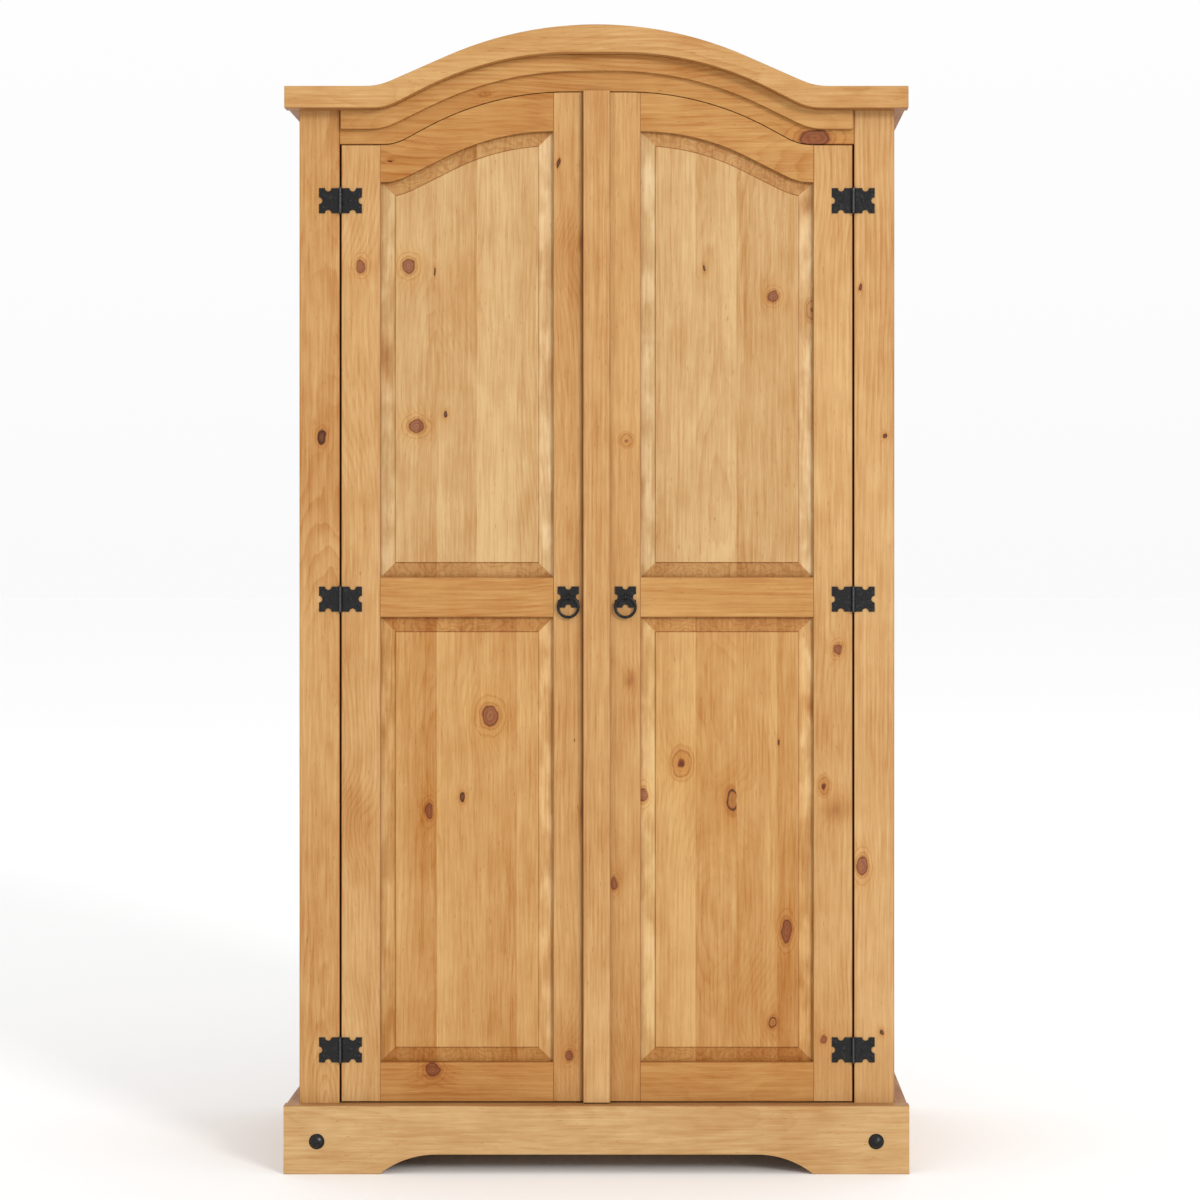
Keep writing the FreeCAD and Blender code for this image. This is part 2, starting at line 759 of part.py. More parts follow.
def raised_panel(name, opening, tongue):
    """A tongue in the grooves, a bevel that rises from the frame, and a flat field."""
    body = new_body("right_" + name, "front")
    tongue_face = "groove_face + tongue_slack"
    pad(body, name + "_tongue", sketch_on(body, name + "_tongue_outline", tongue_face, tongue),
        "tongue_thickness")
    bevel = pad(body, name + "_bevel", sketch_on(body, name + "_opening", tongue_face, opening),
                "bevel_rise", to_the_back=False, taper="-atan(bevel_width / bevel_rise)")
    level = min(face.CenterOfMass.y for face in bevel.Shape.Faces)
    index = next(i for i, face in enumerate(bevel.Shape.Faces, start=1)
                 if abs(face.CenterOfMass.y - level) < 1e-6)
    pad(body, name + "_field", (bevel, [f"Face{index}"]), "field_step", to_the_back=False)
    return body


def make_panels():
    inner = "inner_edge"
    outer = "outer_edge"
    sides = (f"{inner} - tongue_reach", f"{outer} + tongue_reach")
    bottom = "mid_rail_top"
    opening = opening_line("0") + [(inner, bottom), (outer, bottom)]
    tongue = [(sides[1], "opening_foot + tongue_reach")] + opening_line("tongue_reach")
    tongue += [(sides[0], "opening_crown + tongue_reach"), (sides[0], f"{bottom} - tongue_reach"),
               (sides[1], f"{bottom} - tongue_reach")]
    pair("door_upper_panel", raised_panel("door_upper_panel", opening, tongue))

    z = ("bottom_rail_top", "mid_rail_height")
    opening = [(inner, z[0]), (outer, z[0]), (outer, z[1]), (inner, z[1])]
    low, high = f"{z[0]} - tongue_reach", f"{z[1]} + tongue_reach"
    tongue = [(sides[0], low), (sides[1], low), (sides[1], high), (sides[0], high)]
    pair("door_lower_panel", raised_panel("door_lower_panel", opening, tongue))


def make_meeting_strip():
    """A strip on the right door, over the gap and, with a little relief, over the left door."""
    half = "strip_width / 2"
    y = ("front - strip_thickness", "front")
    strip = block("strip_board", (f"-{half}", half), y, ("door_bottom", "header_crown"))
    relief = block("strip_relief", (f"-{half}", "door_inner"), ("front - strip_relief", "front"),
                   ("door_bottom", "header_crown"))
    keep(cut("meeting_strip", strip, [relief]))


# ---- hinges ------------------------------------------------------------------------------------


def outward(side, distance):
    """A distance from the hinge line, away from the door for side 1 and over the door for side -1."""
    return f"hinge_side + ({side}) * ({distance})"


def hinge_leaf(name, side, centre, own_knuckles):
    """One notched leaf with its share of the five knuckles."""
    edges = [outward(side, "leaf_relief"), outward(side, "leaf_width")][::side]
    y = ("front - leaf_thickness", "front")
    z = (f"{centre} - leaf_height / 2", f"{centre} + leaf_height / 2")
    solids = [block(name + "_plate", edges, y, z)]
    step = f"leaf_height / {len(CASE_KNUCKLES) + len(DOOR_KNUCKLES)}"
    for index in own_knuckles:
        low = f"{z[0]} + {index} * {step} + knuckle_gap / 2"
        high = f"{z[0]} + {index + 1} * {step} - knuckle_gap / 2"
        tab = [outward(side, "0"), outward(side, "leaf_relief + leaf_thickness")][::side]
        solids.append(block(f"{name}_tab_{index}", tab, y, (low, high)))
        solids.append(rod(f"{name}_knuckle_{index}", "knuckle_radius", f"({high}) - ({low})",
                          "hinge_side", "hinge_depth", low))
    notch_x = outward(side, "leaf_width - leaf_notch_inset")
    holes = [
        rod(name + "_bore", "pin_radius + pin_play", "leaf_height", "hinge_side", "hinge_depth", z[0]),
        rod(name + "_top_notch", "leaf_notch", "leaf_thickness", notch_x, "front", z[1], TO_FRONT),
        rod(name + "_low_notch", "leaf_notch", "leaf_thickness", notch_x, "front", z[0], TO_FRONT),
        rod(name + "_end_notch", "leaf_notch", "leaf_thickness", outward(side, "leaf_width"), "front",
            centre, TO_FRONT),
    ]
    return cut(name, fuse(name + "_blank", solids), holes)


def wood_screw(name, x, z):
    """A round head on the leaf, and a shank that goes through it into the wood."""
    face = "front - leaf_thickness"
    head = dome(name + "_head", "screw_head", "screw_rise", x, face, z)
    shank = rod(name + "_shank", "screw_shank", "screw_length", x, f"{face} + screw_length", z, TO_FRONT)
    return fuse(name, [head, shank])


def leaf_screws(name, side, centre):
    far = outward(side, "leaf_width - screw_edge")
    near = outward(side, "screw_near")
    places = [(far, f"{centre} + screw_spread"), (far, f"{centre} - screw_spread"), (near, centre)]
    return [wood_screw(f"{name}_{i}", x, z) for i, (x, z) in enumerate(places)]


def hinge_pin(name, centre):
    half = "leaf_height / 2"
    shaft = rod(name + "_shaft", "pin_radius", f"2 * {half}", "hinge_side", "hinge_depth",
                f"{centre} - {half}")
    heads = []
    for end, sign in (("top", "+"), ("bottom", "-")):
        head = doc.addObject("Part::Sphere", f"{name}_{end}")
        head.setExpression("Radius", formula("pin_head"))
        head.Angle1 = 0 if sign == "+" else -90
        head.Angle2 = 90 if sign == "+" else 0
        place(head, "hinge_side", "hinge_depth", f"{centre} {sign} {half}")
        heads.append(head)
    return fuse(name, [shaft] + heads)


def make_hinges():
    case_leaves, door_leaves, pins, case_screws, door_screws = [], [], [], [], []
    for place_name in HINGE_HEIGHTS:
        case_leaves.append(hinge_leaf(f"case_leaf_{place_name}", 1, place_name, CASE_KNUCKLES))
        door_leaves.append(hinge_leaf(f"door_leaf_{place_name}", -1, place_name, DOOR_KNUCKLES))
        pins.append(hinge_pin(f"pin_{place_name}", place_name))
        case_screws += leaf_screws(f"case_screw_{place_name}", 1, place_name)
        door_screws += leaf_screws(f"door_screw_{place_name}", -1, place_name)
    keep(both_sides("hinge_case_leaves", case_leaves))
    keep(both_sides("hinge_pins", pins))
    keep(both_sides("hinge_case_screws", case_screws))
    pair("hinge_door_leaves", group("right_hinge_door_leaves", door_leaves))
    pair("hinge_door_screws", group("right_hinge_door_screws", door_screws))


# ---- pulls and catches -------------------------------------------------------------------------


def make_pulls():
    """A notched square plate with an eye, and a ring that hangs through the eye."""
    x, z, half = "pull_inset", "pull_height", "pull_width / 2"
    plate = block("pull_blank", (f"{x} - {half}", f"{x} + {half}"), ("front - pull_thickness", "front"),
                  (f"{z} - {half}", f"{z} + {half}"))
    ends = [(f"{x} - {half}", z), (f"{x} + {half}", z), (x, f"{z} - {half}"), (x, f"{z} + {half}")]
    notches = [rod(f"pull_notch_{i}", "pull_notch", "pull_thickness", a, "front", b, TO_FRONT)
               for i, (a, b) in enumerate(ends)]
    eye = ring("pull_eye", "eye_radius", "eye_wire", x, "eye_depth", z, TO_X)
    pair("pull_plate", fuse("right_pull_plate", [cut("pull_notched", plate, notches), eye]))
    pair("pull_ring", ring("right_pull_ring", "ring_radius", "ring_wire", x, "eye_depth",
                           f"{z} - ring_radius", TO_FRONT))


def make_catches():
    x = ("catch_inset - catch_width / 2", "catch_inset + catch_width / 2")
    plate_front = "behind_door"
    plate_back = f"{plate_front} + catch_plate_thickness"
    magnet = block("magnet", x, (f"{plate_back} + catch_gap", f"{plate_back} + catch_gap + catch_depth"),
                   ("top_under - catch_height", "top_under"))
    keep(both_sides("magnet_catches", [magnet]))
    x = ("catch_inset - catch_plate_width / 2", "catch_inset + catch_plate_width / 2")
    top = "top_under - catch_gap"
    pair("catch_plate", block("right_catch_plate", x, (plate_front, plate_back),
                              (f"{top} - catch_plate_height", top)))


# ---- the whole wardrobe ------------------------------------------------------------------------


def check_and_write():
    """Refuse a failed object or a bad solid, then write one file for each piece."""
    for thing in doc.Objects:
        if "Invalid" in thing.State or "Error" in thing.State:
            raise RuntimeError(f"{thing.Label} failed: {thing.State}")
    for piece in pieces:
        if piece.Shape.isNull() or not piece.Shape.isValid() or not piece.Shape.Solids:
            raise RuntimeError(f"{piece.Label} has no sound shape")
    os.makedirs("parts", exist_ok=True)
    for piece in pieces:
        piece.Shape.exportStep(os.path.join("parts", piece.Label + ".step"))


sheet = write_sheet()
make_posts()
make_cornice()
make_header()
make_plinth()
make_side_frames()
make_back()
make_floor_and_top()
make_shelf()
make_hanging_rail()
head_space = door_head()
make_stiles(head_space)
make_rails(head_space)
make_panels()
make_meeting_strip()
make_hinges()
make_pulls()
make_catches()
doc.recompute()
check_and_write()
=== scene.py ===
"""Finish, light and camera for an arched pine wardrobe with raised-panel doors, in metres."""

import json
import math
import random
from collections import namedtuple

import bmesh
import bpy
from mathutils import Matrix, Vector


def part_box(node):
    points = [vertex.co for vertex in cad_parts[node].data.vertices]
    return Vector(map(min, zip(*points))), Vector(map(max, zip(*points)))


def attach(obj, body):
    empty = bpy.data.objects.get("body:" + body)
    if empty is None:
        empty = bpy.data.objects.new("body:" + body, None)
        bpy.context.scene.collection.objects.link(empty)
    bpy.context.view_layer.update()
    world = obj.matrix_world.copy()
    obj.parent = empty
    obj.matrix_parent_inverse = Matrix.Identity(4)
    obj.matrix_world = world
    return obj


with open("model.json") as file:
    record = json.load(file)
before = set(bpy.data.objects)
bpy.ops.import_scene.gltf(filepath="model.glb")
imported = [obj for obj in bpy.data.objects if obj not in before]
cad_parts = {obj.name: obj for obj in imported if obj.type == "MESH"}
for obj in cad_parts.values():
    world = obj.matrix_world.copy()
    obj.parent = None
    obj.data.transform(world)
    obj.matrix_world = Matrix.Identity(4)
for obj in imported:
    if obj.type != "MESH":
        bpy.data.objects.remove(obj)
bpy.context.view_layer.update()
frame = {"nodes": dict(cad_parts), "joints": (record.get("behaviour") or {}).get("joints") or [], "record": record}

NODES = frame["nodes"]
SLOT_OF = {part["node"]: part["material_slot"] for part in frame["record"]["subparts"]}
JOINT_PLACES = {joint["name"]: joint["pos_m"] for joint in frame["joints"]}
HINGE_X = JOINT_PLACES["right_door_hinge"][0]      # the left hinge line mirrors it
HINGE_MIDDLE = JOINT_PLACES["right_door_hinge"][2]

MM = 0.001

# The hinges' pattern of screws, counted from the pin, and the recess in each head.
LEAF_HEIGHT = 41.0 * MM
SCREW_FAR = 29.5 * MM
SCREW_NEAR = 15.5 * MM
SCREW_SPREAD = 11.0 * MM
RECESS_ARM = 2.9 * MM
RECESS_SLOT = 0.7 * MM
RECESS_DEPTH = 0.75 * MM
RECESS_TAPER = 0.55

# How far behind a raised field its sloping border begins.
FIELD_STEP = 1.5 * MM

# Rounded arrises: how wide, and the least angle in radians that counts as an arris.
BOARD_ARRIS = (0.9 * MM, 0.6)
PANEL_ARRIS = (0.35 * MM, 0.12)

# Corners this close are welded, faces this nearly flat become one, and edges this sharp shade hard.
WELD_REACH = 0.01 * MM
FLAT_ANGLE = 0.006
CREASE_ANGLE = 0.5


# ---------------------------------------------------------------------------------------------
# Colours
# ---------------------------------------------------------------------------------------------

def screen(red, green, blue):
    """A colour as it looks on a screen, 0 to 255 each, turned into linear light."""
    linear = []
    for value in (red, green, blue):
        share = value / 255
        linear.append(share / 12.92 if share <= 0.04045 else ((share + 0.055) / 1.055) ** 2.4)
    return (*linear, 1.0)


def lighter(tone, step):
    """The tone with a step added to each of its three screen values."""
    return tuple(max(0, min(255, value + change)) for value, change in zip(tone, step))


HONEY = (181, 134, 76)
STRAW = (180, 131, 69)
PALE = (182, 140, 85)
GOLD = (178, 129, 69)
AMBER = (173, 120, 56)
TAN = (168, 113, 48)
INSIDE = (184, 142, 92)
BACK = (178, 142, 96)

PALE_STEP = (14, 22, 28)       # from a board's tone to its lightest early wood
DARK_STEP = (-24, -34, -37)    # and to its darkest late wood

IRON_BLACK = (6, 6, 6)
IRON_RUBBED = (34, 33, 33)
# painted highlight along the front of a hinge's barrel
IRON_CREST_HIGHLIGHT = (78, 78, 82)
BRIGHT_STEEL = (206, 207, 210)
CATCH_STEEL = (186, 187, 190)
STEEL_STEP = (-16, -15, -13)   # from a steel's tone to its dull patches
PLASTIC_LIGHT = (92, 62, 42)
PLASTIC_DARK = (74, 48, 32)


# ---------------------------------------------------------------------------------------------
# Shader nodes
# ---------------------------------------------------------------------------------------------

BUMP_STRENGTH = 0.6

# waves: how many a metre along each axis. octaves: how much fine detail. roughness: how strong it is.
Noise = namedtuple("Noise", "waves octaves roughness", defaults=(2.0, 0.5))


class Nodes:
    """Adds shader nodes to one new material. A value is a number, a tuple or a node's output."""

    def __init__(self, name):
        self.material = bpy.data.materials.new(name)
        self.material.use_nodes = True
        self.tree = self.material.node_tree
        self.shader = self.tree.nodes["Principled BSDF"]
        coordinates = self.tree.nodes.new("ShaderNodeTexCoord")
        self.place = coordinates.outputs["Object"]
        self.normal = coordinates.outputs["Normal"]

    def feed(self, socket, value):
        if isinstance(value, bpy.types.NodeSocket):
            self.tree.links.new(value, socket)
        else:
            socket.default_value = value

    def add(self, kind, *values, **settings):
        node = self.tree.nodes.new("ShaderNode" + kind)
        for key, value in settings.items():
            setattr(node, key, value)
        for socket, value in zip(node.inputs, values):
            self.feed(socket, value)
        return node

    def math(self, operation, *values):
        return self.add("Math", *values, operation=operation).outputs[0]

    def total(self, *values):
        result = values[0]
        for value in values[1:]:
            result = self.math("ADD", result, value)
        return result

    def vector(self, operation, *values):
        return self.add("VectorMath", *values, operation=operation).outputs[0]

    def length(self, vector):
        return self.add("VectorMath", vector, operation="LENGTH").outputs["Value"]

    def noise(self, point, kind):
        """A noise of one kind at the point, from -0.5 to 0.5."""
        node = self.add("TexNoise")
        self.feed(node.inputs["Vector"], self.vector("MULTIPLY", point, kind.waves))
        node.inputs["Scale"].default_value = 1.0
        node.inputs["Detail"].default_value = kind.octaves
        node.inputs["Roughness"].default_value = kind.roughness
        return self.math("SUBTRACT", node.outputs["Fac"], 0.5)

    def span(self, value, low, high, start=0.0, end=1.0):
        """A smooth step from start to end as the value goes from low to high."""
        node = self.add("MapRange", value, low, high, start, end, interpolation_type="SMOOTHSTEP")
        return node.outputs["Result"]

    def curve(self, value, *stops):
        """A curve through (place, height) stops."""
        return self.ramp(value, *[(place, (height, height, height, 1.0)) for place, height in stops])

    def ramp(self, value, *stops):
        """Colours at (place, colour) stops."""
        node = self.add("ValToRGB", value)
        self.set_stops(node, stops)
        return node.outputs["Color"]

    @staticmethod
    def set_stops(node, stops):
        elements = node.color_ramp.elements
        while len(elements) < len(stops):
            elements.new(1.0)
        for element, (place, colour) in zip(elements, stops):
            element.position = place
            element.color = colour

    def mix(self, factor, first, second, blend="MIX"):
        node = self.add("Mix", data_type="RGBA", blend_type=blend)
        self.feed(node.inputs[0], factor)
        self.feed(node.inputs[6], first)
        self.feed(node.inputs[7], second)
        return node.outputs[2]

    def stain(self, colour, amount, tint):
        """The colour, brought towards itself times the tint by an amount from 0 to 1; used for real marks and for
        painted shade, shadow and sheen.
        """
        return self.mix(amount, colour, self.mix(1.0, colour, tint, "MULTIPLY"))

    def finish(self, colour, roughness, height, relief, **constants):
        """Colour, roughness and bump go in through nodes, and constants on the shader's sockets."""
        self.feed(self.shader.inputs["Base Color"], colour)
        self.feed(self.shader.inputs["Roughness"], roughness)
        bump = self.add("Bump")
        bump.inputs["Strength"].default_value = BUMP_STRENGTH
        bump.inputs["Distance"].default_value = relief
        self.feed(bump.inputs["Height"], height)
        self.feed(self.shader.inputs["Normal"], bump.outputs["Normal"])
        for socket, value in constants.items():
            self.shader.inputs[socket.replace("_", " ")].default_value = value
        return self.material


# ---------------------------------------------------------------------------------------------
# Pine
# ---------------------------------------------------------------------------------------------

# A knot's place on the face, its width and height, its kind, and the joint that cuts it off, if
# any. A face that looks sideways takes its across place along Y.
Knot = namedtuple("Knot", "across up width height kind cut", defaults=("red", None))

# axes: which axes run across the board, through it and along its grain.
# pith: how far the tree's heart is from the board's middle, across it and behind it.
# slope: how fast the heart leaves the board along the grain, which draws the cathedral arches.
# joints: the places across the board where glued staves meet; stave_shade: each stave's darkness.
# stave_fan: how much darker each stave is at its +across edge than at its other edge.
# gap_edges: whether its long edges face the narrow gap beside a door, where shade is painted.
# under_strip: whether the meeting strip laps over it, with the strip's shadow painted along the strip's edge.
Board = namedtuple(
    "Board",
    "axes tone pith slope contrast knots joints stave_shade stave_fan gap_edges under_strip",
    defaults=("xyz", HONEY, (0.09, 0.06), 0.03, 1.0, (), (), (), 0.0, False, False),
)

RING = 6.5 * MM                 # one year's growth
SEED_STEP = (1.37, 2.11, 0.73)  # how far apart two boards' noises are cut from

# Noises in the wood, with their waves across, through and along the board.
WANDER = Noise((4.0, 4.0, 3.0), 1.0)
RIPPLE = Noise((70.0, 70.0, 9.0))
WAVER = Noise((75.0, 75.0, 45.0))
PATCHES = Noise((9.0, 9.0, 2.5), 1.0)
FIBRE = Noise((260.0, 260.0, 10.0), 4.0, 0.7)
STREAK = Noise((110.0, 110.0, 3.0), 3.0, 0.6)
BLOTCH = Noise((26.0, 26.0, 14.0), 3.0, 0.55)
BROAD = Noise((8.0, 8.0, 2.2), 1.0)
CURL = Noise((24.0, 24.0, 34.0), 1.0)
CLOUD = Noise((45.0, 45.0, 16.0))
FLECK = Noise((420.0, 420.0, 55.0), 1.0)
RIM_SPOTS = Noise((60.0, 60.0, 12.0))

# How much each of them darkens the wood, over the darkness of the plainest board.
PLAIN_DARKNESS = 0.31
RINGS_SHOW = 0.33
FIBRE_SHOWS = 1.25
STREAK_SHOWS = 0.85
BLOTCH_SHOWS = 0.70
BROAD_SHOWS = 0.65

# Darkness through one year's growth, and across one line of curl: (place, height).
LATE_WOOD = ((0.0, 0.0), (0.45, 0.12), (0.82, 0.8), (0.93, 1.0), (1.0, 0.0))
CURL_LINE = ((0.0, 0.0), (0.5, 0.1), (0.85, 0.75), (1.0, 0.0))
CURL_LINES = 9.0                # lines of curl in one unit of their noise

# How far the tree's heart wanders beside and behind a board, and moves from stave to stave.
HEART_WANDER = (0.03, 0.09)
STAVE_STEP = (0.045, 0.017)
STAVE_SLIDE = (0.0, 3.7, 5.3)   # how far apart two staves' noises are cut from
RIPPLE_RINGS = 0.9              # how many rings one unit of ripple moves a line by
KNOT_WAVER = (0.009, 0.0, 0.012)   # and how far one unit of waver moves a knot's outline

# How the rings swell round a knot: how fast the swelling fades, and its least height in rings.
SWELL_FADE = -0.16
SWELL_RINGS = 0.8

# How much of a face's normal lies along the grain, or across it, from none to all of its mark.
TURNED = (0.08, 0.16)

# What each mark multiplies the wood's colour by.
WHITE = (1.0, 1.0, 1.0, 1.0)
END_TINT = (0.85, 0.73, 0.58, 1.0)
CURL_TINT = (0.78, 0.66, 0.56, 1.0)
# Painted sheen: the pale whitish streaks on the slopes that face sideways.
SHEEN_TINTS = ((1.00, 1.02, 1.04, 1.0), (1.22, 1.38, 1.68, 1.0))
# Painted shade in the quirk, the step behind a raised field, where stain also gathers.
QUIRK_SHADE_TINT = (0.62, 0.47, 0.34, 1.0)
FLECK_TINT = (0.66, 0.50, 0.38, 1.0)
# Painted shade and wear along a board's long edges.
RIM_SHADE_AND_WEAR_TINT = (0.86, 0.77, 0.66, 1.0)
# Painted shade with dirt in the thin line at a board's very brink.
BRINK_SHADE_AND_DIRT_TINT = (0.62, 0.46, 0.34, 1.0)

# How far in from a board's long edge the rim's painted shade and wear, and the brink's line of painted shade and
# dirt, begin and are full.
RIM = (3.0 * MM, 0.5 * MM)
BRINK = (1.5 * MM, 0.8 * MM)

# Painted shade beside a line: how far out it is full, how far out it ends, its amount and its tint.
# Painted shade in the narrow gap beside each door.
GAP_SHADE = (1.6 * MM, 2.1 * MM, 1.0, (0.42, 0.34, 0.28, 1.0))
# The meeting strip's shadow, painted on the door beside its edge.
STRIP_SHADOW = (1.0 * MM, 6.0 * MM, 0.95, (0.46, 0.30, 0.20, 1.0))

# What a knot does to the wood's colour, from its middle outwards, in half-widths over KNOT_REACH.
KNOT_REACH = 4.0
KNOT_TINTS = {
    "red": (
        (0.00, (0.38, 0.23, 0.25, 1)),
        (0.07, (0.58, 0.39, 0.43, 1)),
        (0.13, (0.42, 0.25, 0.28, 1)),
        (0.19, (0.54, 0.35, 0.36, 1)),
        (0.235, (0.25, 0.12, 0.11, 1)),
        (0.27, (0.72, 0.52, 0.38, 1)),
        (0.31, (0.92, 0.80, 0.66, 1)),
        (0.345, (0.76, 0.58, 0.42, 1)),
        (0.38, (0.97, 0.92, 0.82, 1)),
        (0.47, (0.98, 0.93, 0.84, 1)),
        (0.50, (0.84, 0.70, 0.54, 1)),
        (0.54, (0.98, 0.94, 0.86, 1)),
        (1.00, WHITE),
    ),
    "dark": (
        (0.00, (0.34, 0.24, 0.24, 1)),
        (0.13, (0.24, 0.15, 0.15, 1)),
        (0.24, (0.09, 0.05, 0.05, 1)),
        (0.29, (0.70, 0.50, 0.38, 1)),
        (0.34, (0.94, 0.84, 0.72, 1)),
        (0.42, (0.84, 0.70, 0.56, 1)),
        (0.50, (0.96, 0.90, 0.82, 1)),
        (1.00, WHITE),
    ),
    "ring": (
        (0.00, (0.40, 0.24, 0.24, 1)),
        (0.05, (0.56, 0.36, 0.30, 1)),
        (0.09, (0.90, 0.78, 0.62, 1)),
        (0.20, (0.88, 0.75, 0.57, 1)),
        (0.245, (0.64, 0.46, 0.31, 1)),
        (0.28, (0.95, 0.87, 0.74, 1)),
        (0.34, (0.84, 0.71, 0.56, 1)),
        (0.38, (0.98, 0.94, 0.86, 1)),
        (1.00, WHITE),
    ),
    "loop": (
        (0.00, (0.60, 0.46, 0.38, 1)),
        (0.10, (0.78, 0.62, 0.48, 1)),
        (0.17, (0.70, 0.54, 0.42, 1)),
        (0.205, (0.24, 0.14, 0.11, 1)),
        (0.235, (0.20, 0.11, 0.09, 1)),
        (0.27, (0.84, 0.66, 0.46, 1)),
        (0.33, (0.80, 0.64, 0.48, 1)),
        (0.42, (0.95, 0.88, 0.76, 1)),
        (1.00, WHITE),
    ),
    "stain": (
        (0.00, (0.66, 0.48, 0.36, 1)),
        (0.25, (0.80, 0.66, 0.52, 1)),
        (0.60, (0.95, 0.90, 0.82, 1)),
        (1.00, WHITE),
    ),
    "haze": (
        (0.00, (0.93, 0.86, 0.78, 1)),
        (0.40, (0.94, 0.88, 0.80, 1)),
        (0.75, (0.98, 0.96, 0.93, 1)),
        (1.00, WHITE),
    ),
}


def board_point(n, axes, middle, seed):
    """The point as (across, through, along) from the board's middle, and that moved by a seed."""
    split = n.add("SeparateXYZ", n.vector("SUBTRACT", n.place, tuple(middle)))
    turned = [split.outputs["xyz".index(axis)] for axis in axes]
    point = n.add("CombineXYZ", *turned).outputs[0]
    shift = tuple(seed * step for step in SEED_STEP)
    return point, n.vector("ADD", point, shift)


def stave_number(n, across, joints):
    """0 on the first stave, 1 on the second and so on."""
    number = 0.0
    for joint in joints:
        number = n.total(number, n.math("GREATER_THAN", across, joint))
    return number


def slide_staves(n, noisy, stave):
    """Cuts each stave's noises from another place, so that no streak crosses a joint."""
    steps = [n.math("MULTIPLY", stave, step) for step in STAVE_SLIDE]
    return n.vector("ADD", noisy, n.add("CombineXYZ", *steps).outputs[0])


def knot_distance(n, point, knot, centre):
    """How far the point is from the knot, in half-widths of its core."""
    offset = n.vector("SUBTRACT", point, centre)
    sizes = (2 / knot.width, 0.0, 2 / knot.height)
    return n.length(n.vector("MULTIPLY", offset, sizes))


def knot_centre(board, knot, middle):
    """The knot's middle as (across, through, along) from the board's middle."""
    place = {"x": knot.across, "y": knot.across, "z": knot.up}
    if "x" in (board.axes[0], board.axes[2]):
        place["y"] = middle.y
    else:
        place["x"] = middle.x
    across, _, along = [place[axis] - middle["xyz".index(axis)] for axis in board.axes]
    return (across, 0.0, along)


def knot_parts(n, board, middle, wavy):
    """The tint of all the board's knots and the swelling of its rings round them."""
    tint = WHITE
    swelling = 0.0
    across = n.add("SeparateXYZ", wavy).outputs[0]
    centre_of_width = middle["xyz".index(board.axes[0])]
    for knot in board.knots:
        sized = knot
        if board.axes[2] != "z":
            sized = knot._replace(width=knot.height, height=knot.width)
        distance = knot_distance(n, wavy, sized, knot_centre(board, knot, middle))
        share = n.math("DIVIDE", distance, KNOT_REACH)
        if knot.cut is not None:
            share = n.total(share, n.math("GREATER_THAN", across, knot.cut - centre_of_width))
        tint = n.mix(1.0, tint, n.ramp(share, *KNOT_TINTS[knot.kind]), "MULTIPLY")
        fall = n.math("MULTIPLY", n.math("POWER", distance, 2.0), SWELL_FADE)
        rings = 0.5 * min(knot.width, knot.height) / RING + SWELL_RINGS
        swelling = n.total(swelling, n.math("MULTIPLY", n.math("EXPONENT", fall), rings))
    return tint, swelling


def ring_field(n, board, point, noisy, stave, swelling):
    """How many years' rings lie between the tree's heart and the point."""
    across, through, along = n.add("SeparateXYZ", point).outputs
    wander = n.noise(noisy, WANDER)
    behind = n.total(
        n.math("SUBTRACT", board.pith[1], through),
        n.math("MULTIPLY", along, board.slope),
        n.math("MULTIPLY", wander, HEART_WANDER[1]),
        n.math("MULTIPLY", stave, STAVE_STEP[1]),
    )
    beside = n.total(
        n.math("ADD", across, -board.pith[0]),
        n.math("MULTIPLY", wander, HEART_WANDER[0]),
        n.math("MULTIPLY", stave, STAVE_STEP[0]),
    )
    squares = n.total(n.math("POWER", beside, 2.0), n.math("POWER", behind, 2.0))
    rings = n.math("DIVIDE", n.math("SQRT", squares), RING)
    ripple = n.math("MULTIPLY", n.noise(noisy, RIPPLE), RIPPLE_RINGS)
    return n.total(rings, ripple, swelling)


def stave_shade(n, board, stave, across, joints):
    """Extra darkness of each glued stave, and its slow change from edge to edge."""
    if not board.stave_shade:
        return 0.0
    pitch = joints[1] - joints[0]
    place = n.math("FRACT", n.math("DIVIDE", n.math("SUBTRACT", across, joints[0]), pitch))
    fan = n.math("MULTIPLY", n.math("SUBTRACT", place, 0.5), board.stave_fan)
    count = len(board.stave_shade)
    ramp = n.add("ValToRGB", n.math("DIVIDE", n.math("ADD", stave, 0.5), count))
    ramp.color_ramp.interpolation = "CONSTANT"
    stops = []
    for index, shade in enumerate(board.stave_shade):
        height = shade + 0.5
        stops.append((index / count, (height, height, height, 1.0)))
    Nodes.set_stops(ramp, stops)
    return n.total(n.math("SUBTRACT", ramp.outputs["Color"], 0.5), fan)


